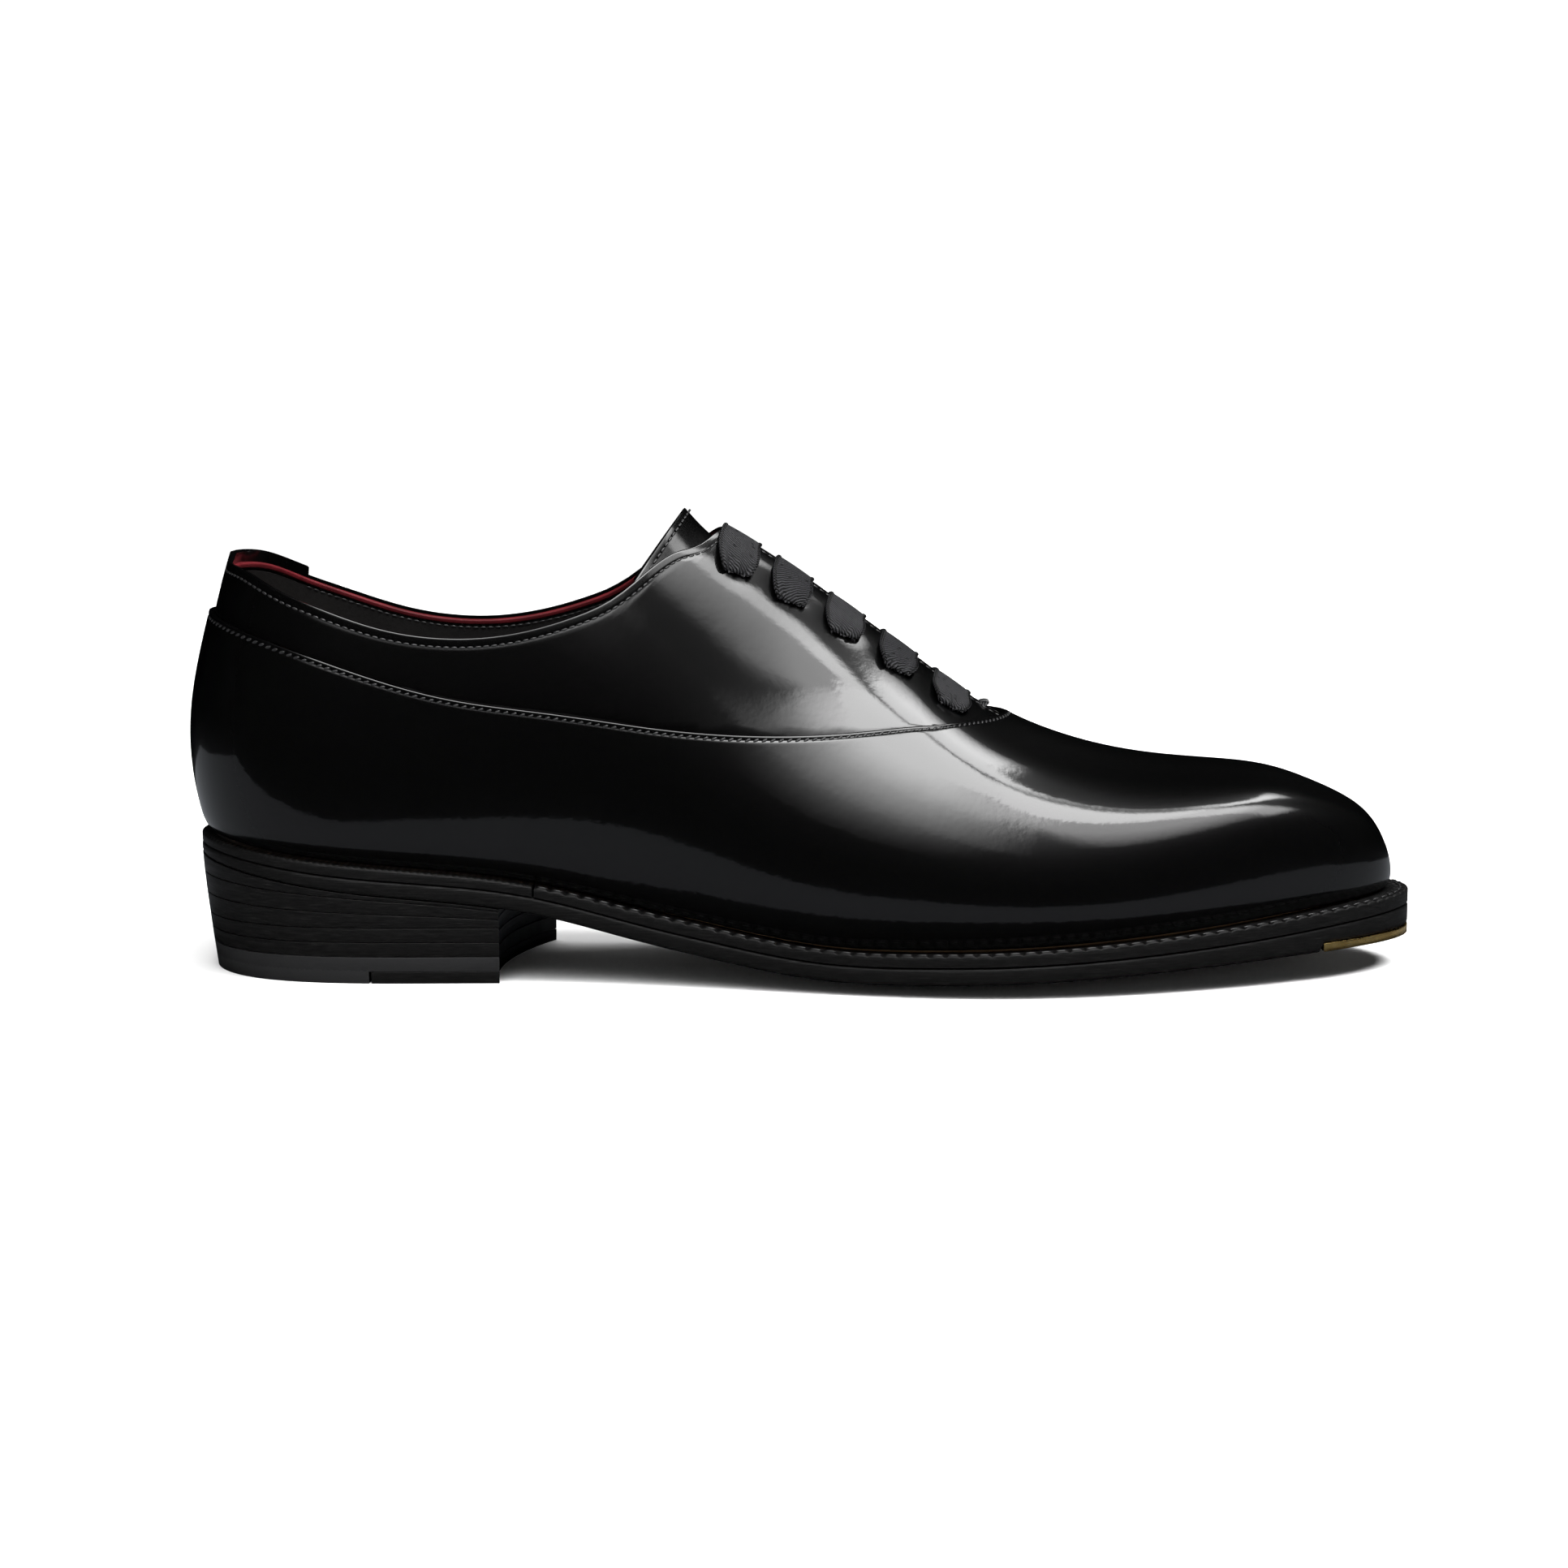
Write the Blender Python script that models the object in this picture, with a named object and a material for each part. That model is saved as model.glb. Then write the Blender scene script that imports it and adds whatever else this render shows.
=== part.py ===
import math

import bmesh
import bpy
import numpy as np

for leftover in list(bpy.data.objects):
    bpy.data.objects.remove(leftover, do_unlink=True)

# A right leather oxford. Toe +X, medial side +Y, up +Z. Lengths here are in millimetres.
MM = 0.001

LENGTH = 300.0            # outsole, heel to toe
SOLE_WIDTH = 102.7        # outsole across the ball
HEEL_RISE = 23.9          # underside of the top lift above the floor, at the back
TOE_SPRING = 7.6
BACK_HEIGHT = 100.7       # topline at the back of the heel
INSTEP_HEIGHT = 104.6     # ridge over the second eyelet row from the top
TOE_BOX = 49.9            # ridge over the toes
CAMBER = 3.2              # hollow across the tread, edge above centre

UPPER = 1.1               # patent leather
BACKER = 1.0              # quarters, counter, toe puff
LINER = 0.8
PLY_GAP = 0.35
LAP_STEP = 0.5            # galosh stands this far outside the last line
TAB_RISE = 1.7            # heel tab above the topline
TAPE = 2.0                # red topline tape
FACING_GAP = 1.2          # half the opening between the facings

WELT_STAND = 0.5          # feather line above the welt
PIECE_GAP = 0.12
INSOLE = 3.0
SOCK = 0.8
PLATE = 2.0
TOP_PIECE = 6.5
INSERT = 2.9
LIFT = 3.55               # one full leather lift
BREAST_LATERAL = 76.0
BREAST_MEDIAL = 86.0
BREAST_HOLLOW = 5.0
TAPER_BACK = 3.4
TAPER_SIDE = 1.6

EYELET_ROWS = (133.4, 146.4, 159.4, 172.4, 185.4)
EYELET_PLACE = 3.06
EYELET_RADIUS = 2.3
RIBBON_WIDTH = 10.0
RIBBON = 0.6
TONGUE_TOP = 121.0
TONGUE_ROOT = 201.0
TONGUE_LIFT = 3.0         # its top edge stands up out of the facings
THROAT = 199.3
UNDERLAY = 6.0            # quarters run this far under the galosh at the throat
TAB_X = 22.6              # the heel tab reaches this far forward on the medial side
TAPE_END = 129.0
COUNTER_END = 92.0
SIDE_END = 168.0          # the quarter's side stiffener stops here
PLATE_X = 274.7           # rear end of the toe plate
JOIN = 84.0               # welt meets heel rand
RIDGE_LEAN = 1.6          # bars lean towards the toe as they climb
TACK_X = 194.4
BACK_UNIT, RIDGE_UNIT = 28.0, 15.0  # millimetres in one unit of height, at the back and near the ridge

LATERAL, MEDIAL = -1, 1
KX = LENGTH / 300.0
KY = SOLE_WIDTH / 102.7
BACK, TIP = 2.0, 295.3    # feather line ends, in pattern units
HEEL_CENTRE, FAN = 34.0, 8.0
ORIGIN = np.array((HEEL_CENTRE * KX, 0, 0))  # middle of the heel's ground face


def spline(points):
    x, v = np.array(points, float).T
    n, h = len(x), np.diff(x)
    a, rhs = np.eye(n), np.zeros(n)
    for i in range(1, n - 1):
        a[i, i - 1:i + 2] = h[i - 1], 2 * (h[i - 1] + h[i]), h[i]
        rhs[i] = 6 * ((v[i + 1] - v[i]) / h[i] - (v[i] - v[i - 1]) / h[i - 1])
    m = np.linalg.solve(a, rhs)

    def at(q):
        q = np.clip(q, x[0], x[-1])
        i = np.clip(np.searchsorted(x, q) - 1, 0, n - 2)
        s, r = (x[i + 1] - q) / h[i], (q - x[i]) / h[i]
        return s * v[i] + r * v[i + 1] + ((s**3 - s) * m[i] + (r**3 - r) * m[i + 1]) * h[i]**2 / 6
    return at


def breadth(points, back, tip, back_radius, tip_radius):
    span = tip - back
    rows = [(back, math.sqrt(2 * back_radius / span))]
    rows += [(x, y / math.sqrt((x - back) * (tip - x))) for x, y in points]
    rows += [(tip, math.sqrt(2 * tip_radius / span))]
    share = spline(rows)
    return lambda x: np.sqrt(np.maximum((x - back) * (tip - x), 0)) * share(x)


FEATHER = {
    LATERAL: breadth([(34, 31.5), (70, 32.0), (105, 33.0), (145, 41.0), (190, 49.0), (225, 45.5),
                      (262, 31.5)], BACK, TIP, 31, 15),
    MEDIAL: breadth([(34, 31.0), (70, 28.5), (105, 25.0), (145, 29.0), (190, 41.5), (225, 44.0),
                     (262, 33.5)], BACK, TIP, 31, 17),
}
SOLE_BACK, SOLE_TIP = 0.2, 300.0
SOLE = {
    LATERAL: breadth([(34, 33.6), (70, 34.2), (105, 35.8), (145, 44.8), (190, 53.8), (225, 50.6),
                      (262, 37.6)], SOLE_BACK, SOLE_TIP, 33, 20),
    MEDIAL: breadth([(34, 33.1), (70, 30.8), (105, 27.6), (145, 32.4), (190, 46.3), (225, 48.9),
                     (262, 39.4)], SOLE_BACK, SOLE_TIP, 33, 22),
}
heel_share = spline([(-10, 1.035), (0, 1.0), (38, 0.875), (64, 0.79), (77, 0.725), (93, 0.595), (110, 0.42),
                     (128, 0.25), (146, 0.095), (163, 0.015), (178, 0), (200, 0), (300, 0)])
toe_share = spline([(-10, 0), (178, 0), (193, 0.012), (212, 0.12), (237, 0.38), (264, 0.70), (285, 0.92),
                    (300, 1.03)])
stack = spline([(0, 10.4), (20, 9.2), (50, 8.4), (100, 8.1), (160, 7.8), (210, 8.1), (250, 9.0), (280, 10.6),
                (300, 11.8)])
sole_share = spline([(0, 2.9), (40, 3.8), (80, 4.2), (140, 4.2), (200, 4.2), (255, 5.0), (300, 7.6)])
wedge = spline([(0, 4.6), (35, 1.6), (60, 1.0), (82, 0.8), (110, 0.15), (140, 0), (300, 0)])
camber_share = spline([(0, 0), (60, 0), (84, 0.1), (120, 0.5), (160, 0.9), (200, 1.0), (300, 1.0)])


def rise(x):
    return HEEL_RISE * heel_share(x) + TOE_SPRING * toe_share(x)


def camber(x, y):
    return CAMBER * camber_share(x) * (y / 52.0)**2


def feather_z(x, y):
    return rise(x) + stack(x) + camber(x, y)


def sole_low(x, y):
    return rise(x) + wedge(x) + camber(x, y)


def sole_top(x, y):
    return sole_low(x, y) + sole_share(x)


def bed(x, y):
    return feather_z(x, y) - WELT_STAND


UP = BACK_HEIGHT / 100.7
ridge = spline([(0, 131 * UP), (40, 133 * UP), (80, 131 * UP), (110, INSTEP_HEIGHT + 15.9),
                (130, INSTEP_HEIGHT + 4.9), (145, INSTEP_HEIGHT - 4.4), (160, INSTEP_HEIGHT - 14.8),
                (180, INSTEP_HEIGHT - 29.4), (199, 62.3), (214, 56.0), (232, TOE_BOX + 1.9), (252, TOE_BOX),
                (268, TOE_BOX - 2.4)])
round_share = spline([(x, (ridge(x) - feather_z(x, 0)) / math.sqrt(TIP - x)) for x in (0, 20, 40, 60, 80, 95,
        110, 120, 130, 145, 160, 180, 199, 214, 232, 252, 268)]
                     + [(284.4, (40.6 - feather_z(284.4, 0)) / math.sqrt(TIP - 284.4)), (TIP, 8.4)])

STATIONS = (0, 34, 70, 105, 145, 190, 225, 262, 295.3)
LEAN = {
    LATERAL: [(1.09, 1.10, 1.115, 1.11, 1.08, 1.06, 1.055, 1.05, 1.05),
              (1.165, 1.15, 1.16, 1.19, 1.09, 1.045, 1.04, 1.045, 1.05),
              (0.98, 1.03, 1.07, 1.05, .76, .72, .76, .82, .84),
              (.66, .80, .80, .62, .35, .36, .42, .46, .47)],
    MEDIAL: [(1.09, 1.10, 1.15, 1.25, 1.19, 1.09, 1.06, 1.05, 1.05),
             (1.165, 1.15, 1.21, 1.42, 1.31, 1.08, 1.045, 1.045, 1.05),
             (0.98, 1.03, 1.12, 1.27, 1.02, .78, .77, .82, .84),
             (.66, .80, .86, .76, .50, .42, .43, .46, .47)],
}
LEVEL = [(.09, .11, .12, .14, .14, .18, .20, .22, .22),
         (.27, .29, .29, .33, .37, .44, .50, .56, .56),
         (.52, .55, .55, .62, .69, .80, .85, .90, .90)]
lean = {s: [spline(list(zip(STATIONS, row))) for row in LEAN[s]] for s in LEAN}
level = [spline(list(zip(STATIONS, row))) for row in LEVEL]
crown = spline(list(zip(STATIONS, (.14, .08, .08, .09, .08, .12, .15, .11, .10))))
ridge_side = spline([(0, 0), (100, 0), (150, 1.0), (200, 2.5), (250, 1.5), (295.3, 0)])


def controls(side, x):
    half, spine = FEATHER[side](x), HEEL_CENTRE + FAN * np.log1p(np.exp((x - HEEL_CENTRE) / FAN))
    low = feather_z(x, half)
    top = feather_z(x, 0) + round_share(x) * math.sqrt(max(TIP - x, 0))
    tall = top - low
    across = ridge_side(x) * min(1, (FEATHER[LATERAL](x) + FEATHER[MEDIAL](x)) / 40)
    drop = crown(x) * tall
    points = [(x, side * half, low)]
    for k in range(3):
        a = lean[side][k](x)
        points.append((spine + a * (x - spine), side * a * half, low + level[k](x) * tall))
    a = lean[side][3](x)
    points.append((spine + a * (x - spine), across + side * a * half, top - drop * 2 / 3))
    points.append((spine, across, top + drop / 3))
    return np.array(points)


def blend(t, count=11):
    knots = np.concatenate([np.zeros(3), np.arange(count - 2), np.full(3, count - 3)])
    t = np.clip(np.asarray(t, float), 0, count - 3 - 1e-9)
    n = [((knots[i] <= t) & (t < knots[i + 1])).astype(float) for i in range(len(knots) - 1)]
    for p in range(1, 4):
        new = []
        for i in range(len(knots) - 1 - p):
            v = np.zeros_like(t)
            if knots[i + p] > knots[i]:
                v = v + (t - knots[i]) / (knots[i + p] - knots[i]) * n[i]
            if knots[i + p + 1] > knots[i + 1]:
                v = v + (knots[i + p + 1] - t) / (knots[i + p + 1] - knots[i + 1]) * n[i + 1]
            new.append(v)
        n = new
    return np.array(n).T


def turn(x):
    """Place round the shoe: 0 at the heel back, 1 at the toe tip."""
    return math.acos(1 - 2 * min(max((x - BACK) / (TIP - BACK), 0), 1)) / math.pi


def station(u):
    return BACK + (TIP - BACK) * (1 - math.cos(math.pi * u)) / 2


def bare(u, t):
    side = LATERAL if u < 0 else MEDIAL
    x = station(min(abs(u), 1))
    c = np.vstack([controls(side, x), controls(-side, x)[4::-1]])
    return blend(t) @ c * (KX, KY, 1)


def skin(u, t, d):
    """Points at turn u, height places t, d outside the last line."""
    t = np.atleast_1d(np.asarray(t, float))
    p = bare(u, t)
    if abs(u) > 0.999:
        n = np.tile((1.0, 0, 0), (len(t), 1))
    else:
        lo, hi = max(u - 2e-3, -1), min(u + 2e-3, 1)
        du = bare(hi, t) - bare(lo, t)
        if u == 0:
            du = np.tile((0, 1.0, 0), (len(t), 1))
        dt = bare(u, np.clip(t + .01, 0, 8)) - bare(u, np.clip(t - .01, 0, 8))
        n = np.cross(dt, du)
        n /= np.linalg.norm(n, axis=1, keepdims=True)
    return p + n * np.asarray(d, float).reshape(-1, 1)


seam_share = spline([(2, .140), (16, .157), (34, .181), (56, .211), (85, .248), (115, .288), (139, .320),
                     (163, .363), (177, .395), (186, .403), (192, .375), (199.3, .32)])
topline_place = spline([(0, 2.42), (10, 2.35), (22, 2.19), (34, 2.05), (48, 1.93), (65, 1.89), (82, 1.955),
                        (95, 2.10), (105, 2.31), (112.5, 2.59), (120, 2.90), (126.5, 3.25), (131, 3.85)])
facing_edge = 4 - FACING_GAP / RIDGE_UNIT


def seam(x):
    return 4 - math.sqrt(max(THROAT - x, 0)) * float(seam_share(x))


def underlay(x):
    return 4 - math.sqrt(max(THROAT + UNDERLAY - x, 0)) * float(seam_share(x)) - .10


def topline(x):
    return min(float(topline_place(x)), facing_edge) if x < 131 else facing_edge


MATERIALS = {
    'patent_black': ((.012, .012, .014, 1), .06, 0), 'lining_black': ((.02, .018, .018, 1), .6, 0),
    'tape_red': ((.25, .015, .02, 1), .6, 0), 'ribbon_black': ((.012, .012, .013, 1), .8, 0),
    'edge_black': ((.02, .02, .02, 1), .4, 0), 'leather_tan': ((.45, .27, .13, 1), .6, 0),
    'cork': ((.35, .2, .1, 1), .9, 0), 'steel': ((.5, .5, .52, 1), .3, 1),
    'rubber_black': ((.02, .02, .02, 1), .7, 0), 'brass': ((.78, .56, .22, 1), .25, 1),
    'aglet_black': ((.02, .02, .02, 1), .2, 0), 'thread_black': ((.02, .02, .022, 1), .6, 0),
}


def material(slot):
    m = bpy.data.materials.get(slot) or bpy.data.materials.new(slot)
    m.use_nodes = True
    b = m.node_tree.nodes['Principled BSDF']
    colour, rough, metal = MATERIALS[slot]
    b.inputs['Base Color'].default_value = colour
    b.inputs['Roughness'].default_value = rough
    b.inputs['Metallic'].default_value = metal
    return m


def solid(name, verts, faces, slot, smooth=True, origin=None):
    mesh = bpy.data.meshes.new(name)
    place = ORIGIN if origin is None else origin
    mesh.from_pydata([tuple((np.array(v) - place) * MM) for v in verts], [], faces)
    bm = bmesh.new()
    bm.from_mesh(mesh)
    bmesh.ops.recalc_face_normals(bm, faces=bm.faces[:])
    for f in bm.faces:
        f.smooth = smooth
    bm.to_mesh(mesh)
    bm.free()
    ob = bpy.data.objects.new(name, mesh)
    ob.location = tuple((place - ORIGIN) * MM)
    bpy.context.scene.collection.objects.link(ob)
    mesh.materials.append(material(slot))
    return ob


def shell(name, outer, inner, slot, **more):
    """Closed sheet between two matching grids of points."""
    rows, cols = outer.shape[:2]
    index, top, low = {}, [], []
    for i in range(rows):
        for j in range(cols):
            same = np.flatnonzero(np.abs(np.array(top) - outer[i, j]).max(1) < .005) if top else []
            if not len(same):
                same = [len(top)]
                top.append(outer[i, j])
                low.append(inner[i, j])
            index[i, j] = int(same[0])
    faces = []
    for i in range(rows - 1):
        for j in range(cols - 1):
            ring = [index[i, j], index[i, j + 1], index[i + 1, j + 1], index[i + 1, j]]
            first = 0 if outer[i, j][1] + outer[i + 1, j + 1][1] < 0 else 1
            ring = ring[first:] + ring[:first]
            for three in (ring[:3], [ring[0], ring[2], ring[3]]):
                if len(set(three)) > 2:
                    faces.append(three)
    edges = {(f[k], f[(k + 1) % len(f)]) for f in faces for k in range(len(f))}
    n = len(top)
    rim = [[b, a, a + n, b + n] for a, b in edges if (b, a) not in edges]
    faces = faces + [[v + n for v in reversed(f)] for f in faces] + sorted(rim)
    return solid(name, top + low, faces, slot, **more)


def sweep(name, rings, slot, **more):
    rings = np.array(rings)
    n, k = rings.shape[:2]
    faces = [[i * k + j, i * k + (j + 1) % k, (i + 1) * k + (j + 1) % k, (i + 1) * k + j]
             for i in range(n - 1) for j in range(k)]
    faces += [list(range(k))[::-1], [(n - 1) * k + j for j in range(k)]]
    return solid(name, rings.reshape(-1, 3), faces, slot, **more)


def panel(name, turns, places, out, inn, slot, **more):
    """Sheet with rows at the height places given by places(u)."""
    o, i = [], []
    for u in turns:
        t = places(u)
        o.append(skin(u, t, out(u) if callable(out) else out))
        i.append(skin(u, t, inn(u) if callable(inn) else inn))
    return shell(name, np.array(o), np.array(i), slot, **more)


COLUMNS = 24
SET_COLUMNS = (112.0, 119.0, 124.0, 128.0, 131.0, THROAT - 3.5, THROAT - .9, THROAT)


def between(x0, x1):
    """Column turns from x0 to x1, the same ones on every layer."""
    u0, u1 = turn(x0), turn(x1)
    fixed = [turn(x) for x in SET_COLUMNS]
    even = [v / COLUMNS for v in range(COLUMNS + 1)]
    even = [v for v in even if min(abs(v - f) for f in fixed) > .006]
    return [u0] + [v for v in sorted(fixed + even) if u0 + .004 < v < u1 - .004] + [u1]


def across(x0, x1):
    """Turns from the lateral side at x0, round the heel, to the medial side at x1."""
    return [-u for u in reversed(between(BACK, x0))] + between(BACK, x1)[1:]


def share_rows(*stops):
    """Heights through each stop in turn: height, rows, height, rows, height..."""
    t = [stops[0]]
    for k in range(1, len(stops), 2):
        t += list(np.linspace(t[-1], stops[k + 1], stops[k] + 1)[1:])
    return t


# ---- upper ----
ROWS, TOP_ROWS = 8, 5


def seam_at(u):
    return seam(station(abs(u)))


def galosh_rows(u):
    return np.linspace(0, seam_at(u) if station(abs(u)) < THROAT - .01 else 4.0, ROWS + 1)


panel('galosh', [-1.0] + [-u for u in reversed(between(BACK, TIP)[:-1])] + between(BACK, TIP)[1:],
      galosh_rows,
      LAP_STEP, LAP_STEP - UPPER, 'patent_black')

LAYER1 = LAP_STEP - UPPER - PLY_GAP
LAYER1_IN = LAYER1 - BACKER
LAYER2 = LAYER1_IN - PLY_GAP
LAYER2_IN = LAYER2 - LINER
TAB_SHARE = TAB_RISE / BACK_UNIT
LAP_LIFT = .35
FOOT = .02                # lower edges of the inner layers


def low_at(u):
    return underlay(station(abs(u)))


def edge_at(u):
    return topline(station(abs(u)))


def quarter_top(u):
    lift = TAB_SHARE * min(1, max(0, u + .02) / .02) if station(abs(u)) < TAB_X + .5 else 0
    return edge_at(u) + lift


def quarter_rows(u, top):
    middle = min(seam_at(u), top - .1)
    return share_rows(min(low_at(u), middle - .04), 1, middle, TOP_ROWS, top)


def lap_out(u):
    """The quarter that laps over its neighbour stands a little prouder above the seam."""
    return skived(u) + LAP_LIFT * min(1, max(0, u + .03) / .03) * np.array([0, 0, .6] + [1] * (TOP_ROWS - 1))


def skived(u):
    return LAYER1 - .25 * np.array([1] + [0] * (TOP_ROWS + 1))


quarter_end = THROAT + UNDERLAY - 1.0
quarter_lateral = panel('quarter_lateral', across(quarter_end, TAB_X),
                        lambda u: quarter_rows(u, quarter_top(u)), lap_out, LAYER1_IN, 'patent_black')
quarter_medial = panel('quarter_medial', between(TAB_X + .4, quarter_end),
                       lambda u: quarter_rows(u, edge_at(u)), skived, LAYER1_IN, 'patent_black')



def tape_share(u):
    return TAPE / float(np.interp(station(abs(u)), (2, 90, 120, 130), (28, 29, 21, 17)))


panel('topline_tape', across(TAPE_END, TAPE_END), lambda u: share_rows(edge_at(u) - tape_share(u), 1,
        edge_at(u) - .015), LAYER2, LAYER2_IN, 'tape_red')


def lining_top(u):
    return edge_at(u) - (tape_share(u) + .025 if station(abs(u)) <= TAPE_END + .6 else .03)


def lining_rows(u):
    top = lining_top(u)
    return share_rows(FOOT, ROWS, min(seam_at(u), top - .1), TOP_ROWS, top)


quarter_lining = {}
for side, word in ((LATERAL, 'lateral'), (MEDIAL, 'medial')):
    cols = between(BACK + .03, TAPE_END + .4)[:-1] + [turn(TAPE_END + .4)] + between(TAPE_END + .7,
            THROAT + .5)
    quarter_lining[side] = panel('quarter_lining_' + word, sorted(side * u for u in cols), lining_rows,
                                 LAYER2, LAYER2_IN, 'lining_black')


def draw_in(u):
    return LAYER2 - .15 + (PLY_GAP + BACKER + .15) * float(np.interp(station(abs(u)), (208, 218, 238, 248),
            (0, 1, 1, 0)))


def cap(name, x0, slot, out, inn):
    """A cap over the ridge from x0 to the toe tip."""
    def half(u, d):
        rows = np.linspace(0, 4, ROWS + 1)
        return np.vstack([skin(-u, rows, d(u)), skin(u, rows[::-1][1:], d(u))])
    cols = between(x0, TIP)[::-1]
    return shell(name, np.array([half(u, out) for u in cols]), np.array([half(u, inn) for u in cols]), slot)


cap('vamp_lining', THROAT + 1.3, 'lining_black', draw_in, lambda u: draw_in(u) - LINER)
cap('toe_puff', 250.0, 'leather_tan', lambda u: LAYER1, lambda u: LAYER1_IN)


def backer_rows(u):
    return np.linspace(FOOT, min(low_at(u), seam_at(u)) - .04, ROWS + 1)


panel('heel_counter', across(COUNTER_END, COUNTER_END), backer_rows, LAYER1, LAYER1_IN, 'leather_tan')
for side, word in ((LATERAL, 'lateral'), (MEDIAL, 'medial')):
    cols = sorted(side * u for u in between(COUNTER_END + .8, SIDE_END))
    panel('side_lining_' + word, cols, backer_rows, LAYER1, LAYER1_IN, 'leather_tan')

# ---- tongue ----
HINGE = bare(turn(TONGUE_ROOT), [4.0])[0] + (0, 0, LAYER2_IN - 2.3)
HINGE[1] = 0.0


def tongue_sheet(name, out, thick, slot, narrow, origin):
    o, i = [], []
    for s in np.linspace(0, 1, 11):
        x = TONGUE_TOP + (TONGUE_ROOT - 1.2 - TONGUE_TOP) * s
        half = (1.62 - .62 * s**.8) - narrow
        top_z = bare(turn(x), [4.0])[0][2]
        ro, ri = [], []
        for w in np.linspace(-1, 1, 13):
            side = LATERAL if w < 0 else MEDIAL
            t, xx = 4 - abs(w) * half, x
            for _ in range(6):
                xx = x - .7 * (1 - s) * (top_z - bare(side * turn(xx), [t])[0][2])
            d = out + TONGUE_LIFT * max(0, 1 - s / .13)**1.5 * max(0, 1 - abs(w)**1.5 / .7)
            ro.append(skin(side * turn(xx), [t], d)[0])
            ri.append(skin(side * turn(xx), [t], d - thick)[0])
        o.append(ro)
        i.append(ri)
    return shell(name, np.array(o), np.array(i), slot, origin=origin)


TONGUE_OUT = LAYER2_IN - 1.8
tongue_sheet('tongue', TONGUE_OUT, 1.0, 'patent_black', 0, HINGE)
tongue_sheet('tongue_lining', TONGUE_OUT - 1.35, .6, 'lining_black', .05, HINGE)


# ---- lace ----
def frame_at(side, x, t, d):
    """Point, along (towards the toe), up-the-side, outward."""
    u = side * turn(x)
    p = skin(u, [t], d)[0]
    out = skin(u, [t], d + 1)[0] - p
    up = skin(u, [t + .02], d)[0] - skin(u, [t - .02], d)[0]
    up /= np.linalg.norm(up)
    along = np.cross(up, out) * side
    return p, along / np.linalg.norm(along), up, out / np.linalg.norm(out)


BAR = LAYER1 + .35 + RIBBON / 2
RUN = LAYER2_IN - .6 - RIBBON / 2
path = []


def place(side, x, t, d, width, thick, aim):
    p, along, up = frame_at(side, x, t, d)[:3]
    path.append((p, along if aim == 'bar' else up, width / 2, thick / 2))


def bar(x, start):
    """Over the ridge from one hole to the other."""
    stops = ((EYELET_PLACE, LAYER1 - 1.6, 2.6, 1.9), (EYELET_PLACE, LAYER1 - .5, 2.8, 1.8),
             (EYELET_PLACE + .01, LAYER1 + .45, 4.0, 1.5), (EYELET_PLACE + .06, BAR + .55, 6.2, 1.1),
             (EYELET_PLACE + .16, BAR + .35, 8.6, .8), (EYELET_PLACE + .30, BAR + .1, RIBBON_WIDTH, RIBBON),
             (EYELET_PLACE + .5, BAR, RIBBON_WIDTH, RIBBON), (EYELET_PLACE + .72, BAR, RIBBON_WIDTH, RIBBON))
    for t, d, w, h in stops:
        place(start, x + RIDGE_LEAN * (t - EYELET_PLACE), t, d, w, h, 'bar')
    place(start, x + RIDGE_LEAN * (4 - EYELET_PLACE), 4.0, BAR, RIBBON_WIDTH, RIBBON, 'bar')
    for t, d, w, h in reversed(stops):
        place(-start, x + RIDGE_LEAN * (t - EYELET_PLACE), t, d, w, h, 'bar')


def inner_run(side, x0, x1):
    for share, w in ((0, 2.6), (.25, 5.0), (.5, 6.0), (.75, 5.0), (1, 2.6)):
        place(side, x0 + (x1 - x0) * share, EYELET_PLACE, RUN, w, .9 if share in (0, 1) else RIBBON, 'run')


start = LATERAL
lace_rows = sorted(EYELET_ROWS, reverse=True)
for t, d, w in ((2.34, RUN - .9, 2.0), (2.5, RUN - .5, 3.5), (2.8, RUN, 4.5), (EYELET_PLACE - .03, RUN, 3.0)):
    place(start, lace_rows[0] + 1.0, t, d, w, .8, 'bar')
for k, x in enumerate(lace_rows):
    bar(x, start)
    start = -start
    if k < len(lace_rows) - 1:
        inner_run(start, x, lace_rows[k + 1])
for t, d, w in ((EYELET_PLACE - .03, RUN, 3.0), (2.8, RUN, 4.5), (2.5, RUN - .5, 3.5), (2.34, RUN - .9, 2.0)):
    place(start, lace_rows[-1] - 1.0, t, d, w, .8, 'bar')

centres = np.array([p[0] for p in path])
rings = []
for k, (p, across, a, b) in enumerate(path):
    tangent = centres[min(k + 1, len(path) - 1)] - centres[max(k - 1, 0)]
    tangent /= np.linalg.norm(tangent)
    wide = across - tangent * np.dot(across, tangent)
    wide /= np.linalg.norm(wide)
    if rings and np.dot(wide, last_wide) < 0:
        wide = -wide
    last_wide = wide
    thick = np.cross(tangent, wide)
    rings.append([p + wide * a * c + thick * b * s for c, s in ((1, 0), (.82, 1), (0, 1), (-.82, 1), (-1, 0),
            (-.82, -1), (0, -1), (.82, -1))])
sweep('lace', rings, 'ribbon_black')


def tube(name, start, end, radius, slot, sides=10, **more):
    axis = np.array(end, float) - start
    axis /= np.linalg.norm(axis)
    a = np.cross(axis, (0, 0, 1) if abs(axis[2]) < .9 else (1, 0, 0))
    a /= np.linalg.norm(a)
    b = np.cross(axis, a)
    ring = [a * math.cos(2 * math.pi * k / sides) * radius + b * math.sin(2 * math.pi * k / sides) * radius
            for k in range(sides)]
    return sweep(name, [[np.array(start) + r for r in ring], [np.array(end) + r for r in ring]], slot, **more)


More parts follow.
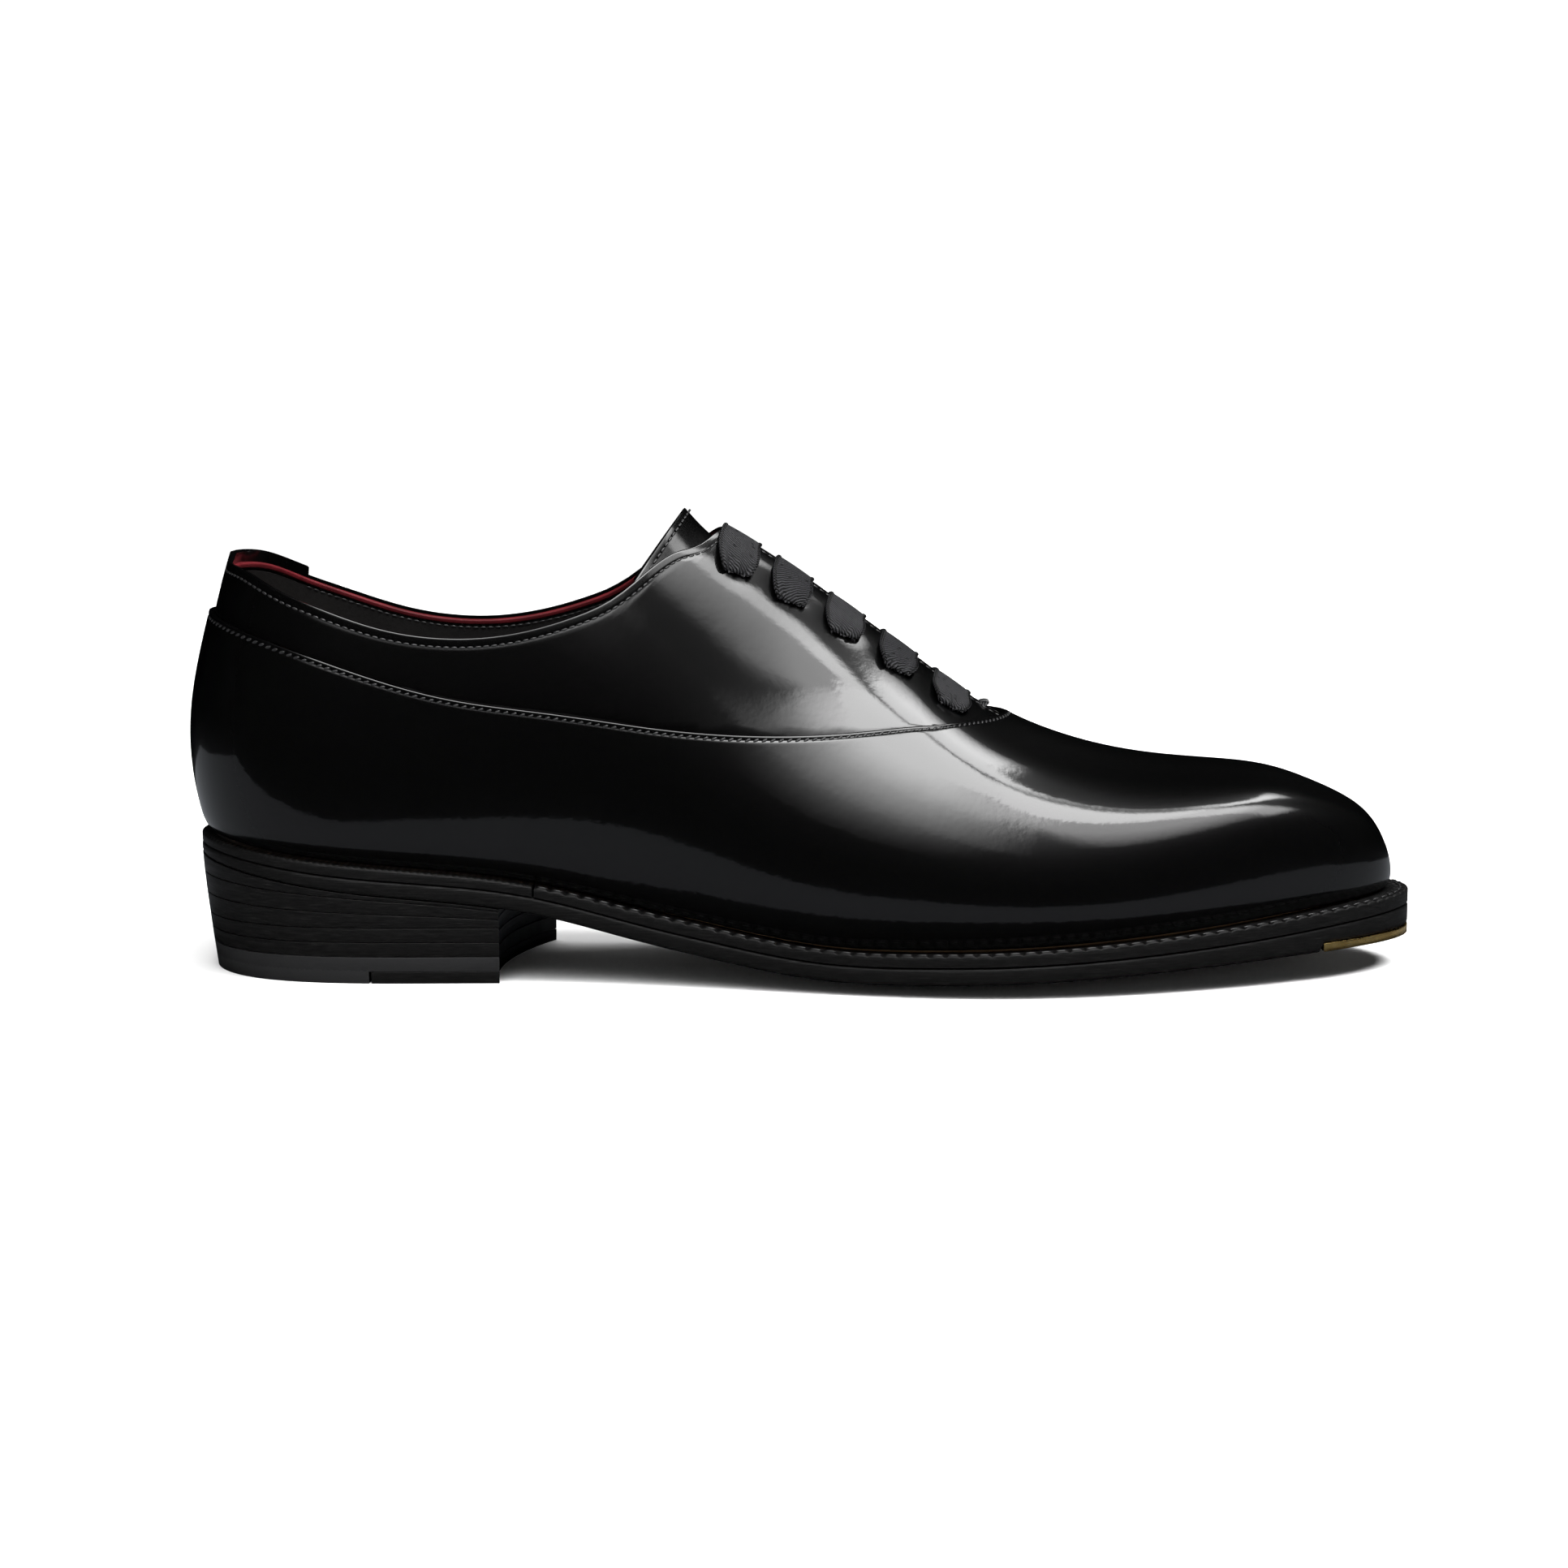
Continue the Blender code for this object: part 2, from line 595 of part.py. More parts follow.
for word, side, x, first in (('front', LATERAL, lace_rows[0] + 1.0, centres[0]),
                             ('rear', start, lace_rows[-1] - 1.0, centres[-1])):
    head = skin(side * turn(x), [2.32], RUN - .95)[0]
    head = first + (head - first) / np.linalg.norm(head - first) * .3
    foot = skin(side * turn(x), [1.9], RUN - 2.6)[0]
    foot = head + (foot - head) / np.linalg.norm(foot - head) * 11.0
    tube('aglet_' + word, head, foot, 1.0, 'aglet_black')

o, i = [], []
for dx in np.linspace(-2.2, 2.2, 4):
    row = [skin(s * turn(TACK_X + dx), [t], 0)[0] for s, t in ((-1, 3.8), (-1, 3.9), (-1, 4.0), (1, 3.9),
            (1, 3.8))]
    out = [skin(s * turn(TACK_X + dx), [t], LAYER1 + h)[0] for s, t, h in ((-1, 3.8, .9), (-1, 3.9, 1.4),
            (-1, 4.0, 1.5), (1, 3.9, 1.4), (1, 3.8, .9))]
    inn = [skin(s * turn(TACK_X + dx), [t], LAYER1 + .45)[0] for s, t in ((-1, 3.8), (-1, 3.9), (-1, 4.0),
            (1, 3.9), (1, 3.8))]
    o.append(out)
    i.append(inn)
shell('throat_tack', np.array(o), np.array(i), 'thread_black')

# ---- eyelet holes ----
verts, faces = [], []
for side in (LATERAL, MEDIAL):
    for x in EYELET_ROWS:
        p, along, up, out = frame_at(side, x, EYELET_PLACE, 0)
        base = len(verts)
        for d in (1.5, LAYER2_IN - 1.2):
            for k in range(12):
                a = 2 * math.pi * k / 12
                verts.append(p + out * d + (along * math.cos(a) + up * math.sin(a)) * EYELET_RADIUS)
        faces += [[base + k, base + (k + 1) % 12, base + 12 + (k + 1) % 12, base + 12 + k] for k in range(12)]
        faces += [[base + k for k in range(12)][::-1], [base + 12 + k for k in range(12)]]
punch = solid('eyelet_punch', verts, faces, 'steel')
punch.hide_render = True
punch.display_type = 'WIRE'
for ob in (quarter_lateral, quarter_medial, quarter_lining[LATERAL], quarter_lining[MEDIAL]):
    cut = ob.modifiers.new('eyelets', 'BOOLEAN')
    cut.operation, cut.solver, cut.object = 'DIFFERENCE', 'EXACT', punch


# ---- bottom ----
def slab(name, xs, inset, low, high, slot, cells=6, half=None, **more):
    """Sheet across the sole between low(x, y) and high(x, y)."""
    half = half or SOLE
    o, i = [], []
    for x in xs:
        a, b = -max(float(half[LATERAL](x)) - inset, 0.0), max(float(half[MEDIAL](x)) - inset, 0.0)
        row = [(x, a + (b - a) * w) for w in (1 - np.cos(np.linspace(0, math.pi, cells + 1))) / 2]
        o.append([(px * KX, py * KY, high(px, py)) for px, py in row])
        i.append([(px * KX, py * KY, low(px, py)) for px, py in row])
    return shell(name, np.array(o), np.array(i), slot, **more)


def sole_places(x0, x1, count, ends=(True, True)):
    v = np.linspace(0, 1, count + 1)
    if all(ends):
        s = (1 - np.cos(np.pi * v)) / 2
    elif ends[0]:
        s = 1 - np.cos(np.pi * v / 2)
    elif ends[1]:
        s = np.sin(np.pi * v / 2)
    else:
        s = v
    return [x0 + (x1 - x0) * q for q in s]


xs = [x for x in sole_places(SOLE_BACK, SOLE_TIP, 34) if abs(x - PLATE_X) > 1.5]
outsole = slab('outsole', sorted(xs + [PLATE_X - .15, PLATE_X]), 0,
               lambda x, y: sole_low(x, y) + (PLATE + PIECE_GAP if x > PLATE_X - .1 else 0), sole_top,
               'edge_black', smooth=False)
plate = slab('toe_plate', sole_places(PLATE_X + .25, SOLE_TIP, 8, (False, True)), 0,
             sole_low, lambda x, y: sole_low(x, y) + PLATE, 'brass', smooth=False)


def ring_points(side, x, inward):
    """Plan point on the sole edge, moved inward square to it."""
    u = math.acos(1 - 2 * (x - SOLE_BACK) / (SOLE_TIP - SOLE_BACK))
    def at(v):
        xx = SOLE_BACK + (SOLE_TIP - SOLE_BACK) * (1 - math.cos(v)) / 2
        return np.array((xx, (1 if v > 0 else -1) * float(SOLE[MEDIAL if v > 0 else LATERAL](xx))))
    v = side * u
    d = at(min(v + .01, math.pi)) - at(max(v - .01, -math.pi))
    if abs(v) > math.pi - 1e-6:
        n = np.array((1.0, 0))
    elif abs(v) < 1e-6:
        n = np.array((-1.0, 0))
    else:
        n = np.array((-d[1], d[0])) / np.linalg.norm(d)
        if n[1] * side < 0:
            n = -n
    return at(v if v else 1e-9) - n * inward


def strip(name, places, inward, slot, bevel=.5):
    rings = []
    for side, x in places:
        a, b, c = ring_points(side, x, 0), ring_points(side, x, bevel), ring_points(side, x, inward)
        low, high = (lambda p: sole_top(p[0], p[1]) + .25), (lambda p: bed(p[0], p[1]))
        rings.append([(p[0] * KX, p[1] * KY, z) for p, z in ((a, low(a)), (a, high(a) - bevel), (b, high(b)),
                (c, high(c)), (c, low(c)))])
    return sweep(name, rings, slot, smooth=False)


welt_xs = sole_places(JOIN + .3, SOLE_TIP, 24, (False, True))
strip('welt', [(LATERAL, x) for x in welt_xs] + [(MEDIAL, x) for x in reversed(welt_xs[:-1])], 9.5,
      'edge_black')
rand_xs = sole_places(SOLE_BACK, JOIN, 10, (True, False))
strip('heel_rand', [(LATERAL, x) for x in reversed(rand_xs)] + [(MEDIAL, x) for x in rand_xs[1:]], 8.0,
      'edge_black')

LAST = (34, 70, 105, 145, 190, 225, 262)  # stations that set the breadth tables


def lining_gap(clear):
    """Insets, along and across the sole in pattern units, that stand this far inside the lining."""
    return (clear - LAYER2_IN) / KX, (clear - LAYER2_IN) / KY


def narrower(end, side, radii):
    return {s: breadth([(x, float(FEATHER[s](x)) - side) for x in LAST], BACK + end, TIP - end, *radii)
            for s in (LATERAL, MEDIAL)}


INSOLE_END, INSOLE_SIDE = lining_gap(0.7)[0], lining_gap(0.9)[1]
CORK_END, CORK_SIDE = lining_gap(3.4)[0], lining_gap(3.2)[1]
INSIDE = narrower(INSOLE_END, INSOLE_SIDE, (27, 11))
WITHIN = narrower(CORK_END, CORK_SIDE, (24, 9))
slab('insole', sole_places(BACK + INSOLE_END, TIP - INSOLE_END, 26), 0,
     lambda x, y: bed(x, y) + .3, lambda x, y: bed(x, y) + .3 + INSOLE, 'leather_tan', half=INSIDE)
slab('sock', sole_places(BACK + lining_gap(1.7)[0], 96, 10, (True, False)), 1.0,
     lambda x, y: bed(x, y) + .5 + INSOLE, lambda x, y: bed(x, y) + .5 + INSOLE + SOCK,
     'lining_black', half=INSIDE)
slab('cork_filler', sole_places(152, TIP - lining_gap(4.4)[0], 14, (False, True)), 0,
     lambda x, y: sole_top(x, y) + .4, lambda x, y: bed(x, y) - .05, 'cork', half=WITHIN)
slab('shank', sole_places(44, 148, 10, (False, False)), 0,
     lambda x, y: sole_top(x, 0) + .7, lambda x, y: sole_top(x, 0) + 2.0, 'steel', cells=1,
     half={LATERAL: lambda x: 7.0, MEDIAL: lambda x: 7.0})


# ---- heel ----
def heel_row(v, cells):
    out = []
    for side, breast in ((LATERAL, BREAST_LATERAL), (MEDIAL, BREAST_MEDIAL)):
        x = SOLE_BACK + (breast - SOLE_BACK) * (1 - math.cos(math.pi * v / 2))
        out.append((x, side * float(SOLE[side](x))))
    (x0, y0), (x1, y1) = out
    return [(x0 + (x1 - x0) * w - BREAST_HOLLOW * v**4 * (1 - (2 * w - 1)**2), y0 + (y1 - y0) * w)
            for w in (1 - np.cos(np.linspace(0, math.pi, cells + 1))) / 2]


def narrowed(x, y, z):
    s = max(0, 1 - z / (HEEL_RISE + 5))**1.25
    back = max(0, 1 - x / 60.0)
    return (x + TAPER_BACK * s * back**1.5) * KX, y * (1 - TAPER_SIDE * s / 33.0) * KY, z


def heel_piece(name, low, high, slot, v0=0.0, v1=1.0, count=9, cells=6, flat_step=None):
    o, i = [], []
    vs = list(np.linspace(v0, v1, count + 1))
    if flat_step:
        vs = sorted([v for v in vs if abs(v - flat_step) > .03] + [flat_step - .002, flat_step])
    for v in vs:
        row = heel_row(v, cells)
        o.append([narrowed(x, y, high(x, v)) for x, y in row])
        i.append([narrowed(x, y, low(x, v)) for x, y in row])
    return shell(name, np.array(o), np.array(i), slot, smooth=False)


g = PIECE_GAP
level_a, level_b = TOP_PIECE + LIFT, TOP_PIECE + 2 * LIFT
v_insert = math.acos(1 - 44.0 / BREAST_LATERAL) / (math.pi / 2)
heel_piece('heel_lift_1', lambda x, v: rise(x) + g, lambda x, v: sole_low(x, 0) - g, 'edge_black')
heel_piece('heel_lift_2', lambda x, v: (level_b + rise(x)) / 2 + g, lambda x, v: rise(x), 'edge_black')
heel_piece('heel_lift_3', lambda x, v: level_b + g, lambda x, v: (level_b + rise(x)) / 2, 'edge_black')
heel_piece('heel_lift_4', lambda x, v: level_a + g, lambda x, v: level_b, 'edge_black')
heel_piece('heel_lift_5', lambda x, v: TOP_PIECE + g, lambda x, v: level_a, 'edge_black')
heel_piece('top_piece', lambda x, v: INSERT + g if v >= v_insert else 0.0, lambda x, v: TOP_PIECE,
           'rubber_black', flat_step=v_insert)
heel_piece('top_piece_insert', lambda x, v: 0.0, lambda x, v: INSERT, 'edge_black', v0=v_insert + .006,
           count=4)

# ---- toe plate screws ----
verts, faces, spots = [], [], ((283.5, -13.0), (283.5, 14.0), (292.5, 0.5))
for n, (x, y) in enumerate(spots):
    z = float(sole_low(x, y))
    base = len(verts)
    for dz, r in ((-1.0, 2.1), (PLATE + .05, 2.1), (PLATE + .05, 1.0), (PLATE + 3.2, 1.0)):
        for k in range(12):
            a = 2 * math.pi * k / 12
            verts.append((x * KX + r * math.cos(a), y * KY + r * math.sin(a), z + dz))
    for r0 in range(3):
        faces += [[base + r0 * 12 + k, base + r0 * 12 + (k + 1) % 12, base + r0 * 12 + 12 + (k + 1) % 12,
                   base + r0 * 12 + 12 + k] for k in range(12)]
    faces += [[base + k for k in range(12)], [base + 36 + k for k in range(12)]]
    rings = [[(x * KX + r * math.cos(a), y * KY + r * math.sin(a), z + dz)
              for a in [2 * math.pi * k / 12 for k in range(12)]]
             for dz, r in ((.25, 1.9), (PLATE - .15, 1.9), (PLATE - .10, .8), (PLATE + 3.0, .8))]
    sweep('toe_screw_%d' % (n + 1), rings, 'brass', smooth=False)
drill = solid('screw_drill', verts, faces, 'steel')
drill.hide_render = True
drill.display_type = 'WIRE'
for ob in (plate, outsole):
    cut = ob.modifiers.new('screws', 'BOOLEAN')
    cut.operation, cut.solver, cut.object = 'DIFFERENCE', 'EXACT', drill
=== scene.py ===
import math

import bmesh
import bpy
import numpy as np
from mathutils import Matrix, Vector
from bpy.props import FloatProperty, FloatVectorProperty, PointerProperty


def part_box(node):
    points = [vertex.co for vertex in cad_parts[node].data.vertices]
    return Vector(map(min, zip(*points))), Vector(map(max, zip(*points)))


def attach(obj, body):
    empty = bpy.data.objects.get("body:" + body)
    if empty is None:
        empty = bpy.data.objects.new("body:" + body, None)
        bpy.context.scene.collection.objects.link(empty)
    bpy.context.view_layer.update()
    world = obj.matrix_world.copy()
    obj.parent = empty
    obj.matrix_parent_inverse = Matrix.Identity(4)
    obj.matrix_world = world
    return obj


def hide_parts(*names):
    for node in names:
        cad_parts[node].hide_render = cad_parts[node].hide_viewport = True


bl_info = {
    "name": "Patent Balmoral Oxford",
    "version": (1, 0, 0),
    "blender": (4, 5, 0),
    "location": "View3D > Sidebar > Oxford",
    "description": "Finishes a packed right-foot oxford: patent leather, stitches, ribbon lace, stacked heel",
    "category": "Object",
}

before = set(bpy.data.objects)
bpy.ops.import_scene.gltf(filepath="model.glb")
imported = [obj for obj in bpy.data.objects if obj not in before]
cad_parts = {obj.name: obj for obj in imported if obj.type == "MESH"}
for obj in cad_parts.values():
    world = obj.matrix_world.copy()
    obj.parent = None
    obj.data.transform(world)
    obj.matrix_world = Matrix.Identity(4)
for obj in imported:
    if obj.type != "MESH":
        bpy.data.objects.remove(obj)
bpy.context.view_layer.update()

MM = 0.001
LATERAL, MEDIAL = -1, 1
SHOE, TONGUE = "shoe", "tongue"

# ------------------------------------------------------------------ last
# The upper follows the last's outside line, drawn at a 300 mm outsole and scaled to the frame.

OUTSOLE_BOX = np.array(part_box("outsole")) / MM
KX = (OUTSOLE_BOX[1][0] - OUTSOLE_BOX[0][0]) / 299.8
KY = (OUTSOLE_BOX[1][1] - OUTSOLE_BOX[0][1]) / 103.19
HEEL_CENTRE, FAN = 34.0, 8.0
ORIGIN = np.array((HEEL_CENTRE * KX, 0, 0))
BACK, TIP = 2.0, 295.3
SOLE_BACK, SOLE_TIP = 0.2, 300.0
HEEL_RISE, TOE_SPRING, CAMBER = 23.9, 7.6, 3.2
WELT_STAND = 0.5
THROAT, UNDERLAY = 199.3, 6.0
EYELET_ROWS = (133.4, 146.4, 159.4, 172.4, 185.4)
EYELET_PLACE = 3.06


def spline(points):
    """Natural cubic through (place, value) pairs."""
    x, v = np.array(points, float).T
    n, h = len(x), np.diff(x)
    a, rhs = np.eye(n), np.zeros(n)
    for i in range(1, n - 1):
        a[i, i - 1:i + 2] = h[i - 1], 2 * (h[i - 1] + h[i]), h[i]
        rhs[i] = 6 * ((v[i + 1] - v[i]) / h[i] - (v[i] - v[i - 1]) / h[i - 1])
    m = np.linalg.solve(a, rhs)

    def at(q):
        q = np.clip(q, x[0], x[-1])
        i = np.clip(np.searchsorted(x, q) - 1, 0, n - 2)
        s, r = (x[i + 1] - q) / h[i], (q - x[i]) / h[i]
        return s * v[i] + r * v[i + 1] + ((s**3 - s) * m[i] + (r**3 - r) * m[i + 1]) * h[i]**2 / 6
    return at


def breadth(points, back, tip, back_radius, tip_radius):
    """Half breadth with a round end at back and tip."""
    span = tip - back
    rows = [(back, math.sqrt(2 * back_radius / span))]
    rows += [(x, y / math.sqrt((x - back) * (tip - x))) for x, y in points]
    rows += [(tip, math.sqrt(2 * tip_radius / span))]
    share = spline(rows)
    return lambda x: np.sqrt(np.maximum((x - back) * (tip - x), 0)) * share(x)


FEATHER = {
    LATERAL: breadth([(34, 31.5), (70, 32.0), (105, 33.0), (145, 41.0), (190, 49.0), (225, 45.5),
                      (262, 31.5)], BACK, TIP, 31, 15),
    MEDIAL: breadth([(34, 31.0), (70, 28.5), (105, 25.0), (145, 29.0), (190, 41.5), (225, 44.0),
                     (262, 33.5)], BACK, TIP, 31, 17),
}
SOLE = {
    LATERAL: breadth([(34, 33.6), (70, 34.2), (105, 35.8), (145, 44.8), (190, 53.8), (225, 50.6),
                      (262, 37.6)], SOLE_BACK, SOLE_TIP, 33, 20),
    MEDIAL: breadth([(34, 33.1), (70, 30.8), (105, 27.6), (145, 32.4), (190, 46.3), (225, 48.9),
                     (262, 39.4)], SOLE_BACK, SOLE_TIP, 33, 22),
}
heel_share = spline([(-10, 1.035), (0, 1.0), (38, 0.875), (64, 0.79), (77, 0.725), (93, 0.595), (110, 0.42),
                     (128, 0.25), (146, 0.095), (163, 0.015), (178, 0), (200, 0), (300, 0)])
toe_share = spline([(-10, 0), (178, 0), (193, 0.012), (212, 0.12), (237, 0.38), (264, 0.70), (285, 0.92),
                    (300, 1.03)])
stack = spline([(0, 10.4), (20, 9.2), (50, 8.4), (100, 8.1), (160, 7.8), (210, 8.1), (250, 9.0), (280, 10.6),
                (300, 11.8)])
sole_share = spline([(0, 2.9), (40, 3.8), (80, 4.2), (140, 4.2), (200, 4.2), (255, 5.0), (300, 7.6)])
wedge = spline([(0, 4.6), (35, 1.6), (60, 1.0), (82, 0.8), (110, 0.15), (140, 0), (300, 0)])
camber_share = spline([(0, 0), (60, 0), (84, 0.1), (120, 0.5), (160, 0.9), (200, 1.0), (300, 1.0)])


def rise(x):
    return HEEL_RISE * heel_share(x) + TOE_SPRING * toe_share(x)


def camber(x, y):
    return CAMBER * camber_share(x) * (y / 52.0)**2


def feather_z(x, y):
    return rise(x) + stack(x) + camber(x, y)


def sole_low(x, y):
    return rise(x) + wedge(x) + camber(x, y)


def sole_top(x, y):
    return sole_low(x, y) + sole_share(x)


def bed(x, y):
    return feather_z(x, y) - WELT_STAND


ridge = spline([(0, 131), (40, 133), (80, 131), (110, 120.5), (130, 109.5), (145, 100.2), (160, 89.8),
                (180, 75.2), (199, 62.3), (214, 56.0), (232, 51.8), (252, 49.9), (268, 47.5)])
ROUND_PLACES = (0, 20, 40, 60, 80, 95, 110, 120, 130, 145, 160, 180, 199, 214, 232, 252, 268)
round_share = spline([(x, (ridge(x) - feather_z(x, 0)) / math.sqrt(TIP - x)) for x in ROUND_PLACES]
                     + [(284.4, (40.6 - feather_z(284.4, 0)) / math.sqrt(TIP - 284.4)), (TIP, 8.4)])

STATIONS = (0, 34, 70, 105, 145, 190, 225, 262, 295.3)
LEAN = {
    LATERAL: [(1.09, 1.10, 1.115, 1.11, 1.08, 1.06, 1.055, 1.05, 1.05),
              (1.165, 1.15, 1.16, 1.19, 1.09, 1.045, 1.04, 1.045, 1.05),
              (0.98, 1.03, 1.07, 1.05, .76, .72, .76, .82, .84),
              (.66, .80, .80, .62, .35, .36, .42, .46, .47)],
    MEDIAL: [(1.09, 1.10, 1.15, 1.25, 1.19, 1.09, 1.06, 1.05, 1.05),
             (1.165, 1.15, 1.21, 1.42, 1.31, 1.08, 1.045, 1.045, 1.05),
             (0.98, 1.03, 1.12, 1.27, 1.02, .78, .77, .82, .84),
             (.66, .80, .86, .76, .50, .42, .43, .46, .47)],
}
LEVEL = [(.09, .11, .12, .14, .14, .18, .20, .22, .22),
         (.27, .29, .29, .33, .37, .44, .50, .56, .56),
         (.52, .55, .55, .62, .69, .80, .85, .90, .90)]
lean = {s: [spline(list(zip(STATIONS, row))) for row in LEAN[s]] for s in LEAN}
level = [spline(list(zip(STATIONS, row))) for row in LEVEL]
crown = spline(list(zip(STATIONS, (.14, .08, .08, .09, .08, .12, .15, .11, .10))))
ridge_side = spline([(0, 0), (100, 0), (150, 1.0), (200, 2.5), (250, 1.5), (295.3, 0)])


def controls(side, x):
    """Six points from the feather line up to the ridge, for each place x."""
    half, spine = FEATHER[side](x), HEEL_CENTRE + FAN * np.log1p(np.exp((x - HEEL_CENTRE) / FAN))
    low = feather_z(x, half)
    top = feather_z(x, 0) + round_share(x) * np.sqrt(np.maximum(TIP - x, 0))
    tall = top - low
    middle = ridge_side(x) * np.minimum(1, (FEATHER[LATERAL](x) + FEATHER[MEDIAL](x)) / 40)
    drop = crown(x) * tall
    points = [(x, side * half, low)]
    for k in range(3):
        a = lean[side][k](x)
        points.append((spine + a * (x - spine), side * a * half, low + level[k](x) * tall))
    a = lean[side][3](x)
    points.append((spine + a * (x - spine), middle + side * a * half, top - drop * 2 / 3))
    points.append((spine, middle, top + drop / 3))
    return np.moveaxis(np.array(points), (0, 1), (-2, -1))


def blend(t, count=11):
    """Cubic B-spline weights of count points at places t."""
    knots = np.concatenate([np.zeros(3), np.arange(count - 2), np.full(3, count - 3)])
    t = np.clip(np.asarray(t, float), 0, count - 3 - 1e-9)
    n = [((knots[i] <= t) & (t < knots[i + 1])).astype(float) for i in range(len(knots) - 1)]
    for p in range(1, 4):
        new = []
        for i in range(len(knots) - 1 - p):
            v = np.zeros_like(t)
            if knots[i + p] > knots[i]:
                v = v + (t - knots[i]) / (knots[i + p] - knots[i]) * n[i]
            if knots[i + p + 1] > knots[i + 1]:
                v = v + (knots[i + p + 1] - t) / (knots[i + p + 1] - knots[i + 1]) * n[i + 1]
            new.append(v)
        n = new
    return np.moveaxis(np.array(n), 0, -1)


def turn(x):
    """Place round the shoe: 0 at the heel back, 1 at the toe tip."""
    return np.arccos(1 - 2 * np.clip((x - BACK) / (TIP - BACK), 0, 1)) / math.pi


def station(u):
    return BACK + (TIP - BACK) * (1 - np.cos(math.pi * np.abs(u))) / 2


def bare(u, t):
    """Points on the last line at turns u and height places t."""
    u, t = np.broadcast_arrays(np.asarray(u, float), np.asarray(t, float))
    x = station(np.minimum(np.abs(u), 1))
    sides = {s: controls(s, x) for s in (LATERAL, MEDIAL)}
    lateral = (u < 0)[..., None, None]
    near = np.where(lateral, sides[LATERAL], sides[MEDIAL])
    away = np.where(lateral, sides[MEDIAL], sides[LATERAL])
    net = np.concatenate([near, away[..., 4::-1, :]], -2)
    return np.einsum("...k,...kd->...d", blend(t), net) * (KX, KY, 1) - ORIGIN


def skin(u, t, d=0.0):
    """Points d outside the last line at turns u and height places t, and their outward directions."""
    u, t = np.broadcast_arrays(np.asarray(u, float), np.atleast_1d(np.asarray(t, float)))
    step = np.clip(1 - np.abs(u), 1e-9, 2e-3)
    du = bare(u + step, t) - bare(u - step, t)
    dt = bare(u, np.clip(t + .01, 0, 8)) - bare(u, np.clip(t - .01, 0, 8))
    n = np.cross(dt, du)
    n /= np.maximum(np.linalg.norm(n, axis=-1, keepdims=True), 1e-12)
    n = np.where(np.abs(u)[..., None] > .9995, (1.0, 0, 0), n)
    return bare(u, t) + n * np.broadcast_to(d, u.shape)[..., None], n


seam_share = spline([(2, .140), (16, .157), (34, .181), (56, .211), (85, .248), (115, .288), (139, .320),
                     (163, .363), (177, .395), (186, .403), (192, .375), (199.3, .32)])
topline_place = spline([(0, 2.42), (10, 2.35), (22, 2.19), (34, 2.05), (48, 1.93), (65, 1.89), (82, 1.955),
                        (95, 2.10), (105, 2.31), (112.5, 2.59), (120, 2.90), (126.5, 3.25), (131, 3.85)])
FACING_EDGE = 3.92
TAB_X, TAB_RISE = 22.6, 1.7 / 28.0


def seam(x):
    return 4 - np.sqrt(np.maximum(THROAT - x, 0)) * seam_share(x)


def underlay(x):
    return 4 - np.sqrt(np.maximum(THROAT + UNDERLAY - x, 0)) * seam_share(x) - .10


def topline(x):
    """The quarters' top edge; ahead of the topline's end it is the facing's edge."""
    return np.where(x < 131, np.minimum(topline_place(x), FACING_EDGE), FACING_EDGE)


# Layers, outside the last line.
GALOSH, GALOSH_IN = 0.5, -0.6
QUARTER, QUARTER_IN = -0.95, -1.95
LINING, LINING_IN = -2.3, -3.1
TONGUE_OUT = LINING_IN - 1.8


# ------------------------------------------------------------------ mesh helpers
def mesh_object(name, verts, faces, smooth=True, normals=True):
    mesh = bpy.data.meshes.new(name)
    mesh.from_pydata((np.array(verts) * MM).tolist(), [], faces)
    bm = bmesh.new()
    bm.from_mesh(mesh)
    bmesh.ops.remove_doubles(bm, verts=bm.verts[:], dist=1e-7)
    if normals:
        bmesh.ops.recalc_face_normals(bm, faces=bm.faces[:])
    for f in bm.faces:
        f.smooth = smooth
    bm.to_mesh(mesh)
    bm.free()
    ob = bpy.data.objects.new(name, mesh)
    bpy.context.scene.collection.objects.link(ob)
    return ob


def weld_grid(outer):
    """Index of each grid point, with points that coincide sharing one."""
    flat = outer.reshape(-1, 3)
    _, first, inverse = np.unique(np.round(flat / .004).astype(np.int64), axis=0, return_index=True,
                                  return_inverse=True)
    return first, inverse.reshape(outer.shape[:2])


def shell(name, outer, inner, smooth_angle=50):
    """Closed sheet between two matching grids of points."""
    first, index = weld_grid(outer)
    top, low = outer.reshape(-1, 3)[first], inner.reshape(-1, 3)[first]
    a, b, c, d = index[:-1, :-1], index[:-1, 1:], index[1:, 1:], index[1:, :-1]
    faces = []
    for ring in np.stack([a, b, c, d], -1).reshape(-1, 4).tolist():
        ring = [v for k, v in enumerate(ring) if v != ring[k - 1]]
        if len(set(ring)) > 2:
            faces.append(ring)
    edges = {(f[k], f[(k + 1) % len(f)]) for f in faces for k in range(len(f))}
    n = len(top)
    rim = sorted([b, a, a + n, b + n] for a, b in edges if (b, a) not in edges)
    faces = faces + [[v + n for v in reversed(f)] for f in faces] + rim
    ob = mesh_object(name, np.vstack([top, low]), faces)
    ob.data.set_sharp_from_angle(angle=math.radians(smooth_angle))
    return ob


def sweep(name, rings, closed=False, smooth_angle=50):
    rings = np.array(rings)
    n, k = rings.shape[:2]
    faces = [[i * k + j, i * k + (j + 1) % k, (i + 1) % n * k + (j + 1) % k, (i + 1) % n * k + j]
             for i in range(n if closed else n - 1) for j in range(k)]
    if not closed:
        faces += [list(range(k))[::-1], [(n - 1) * k + j for j in range(k)]]
    ob = mesh_object(name, rings.reshape(-1, 3), faces)
    ob.data.set_sharp_from_angle(angle=math.radians(smooth_angle))
    return ob


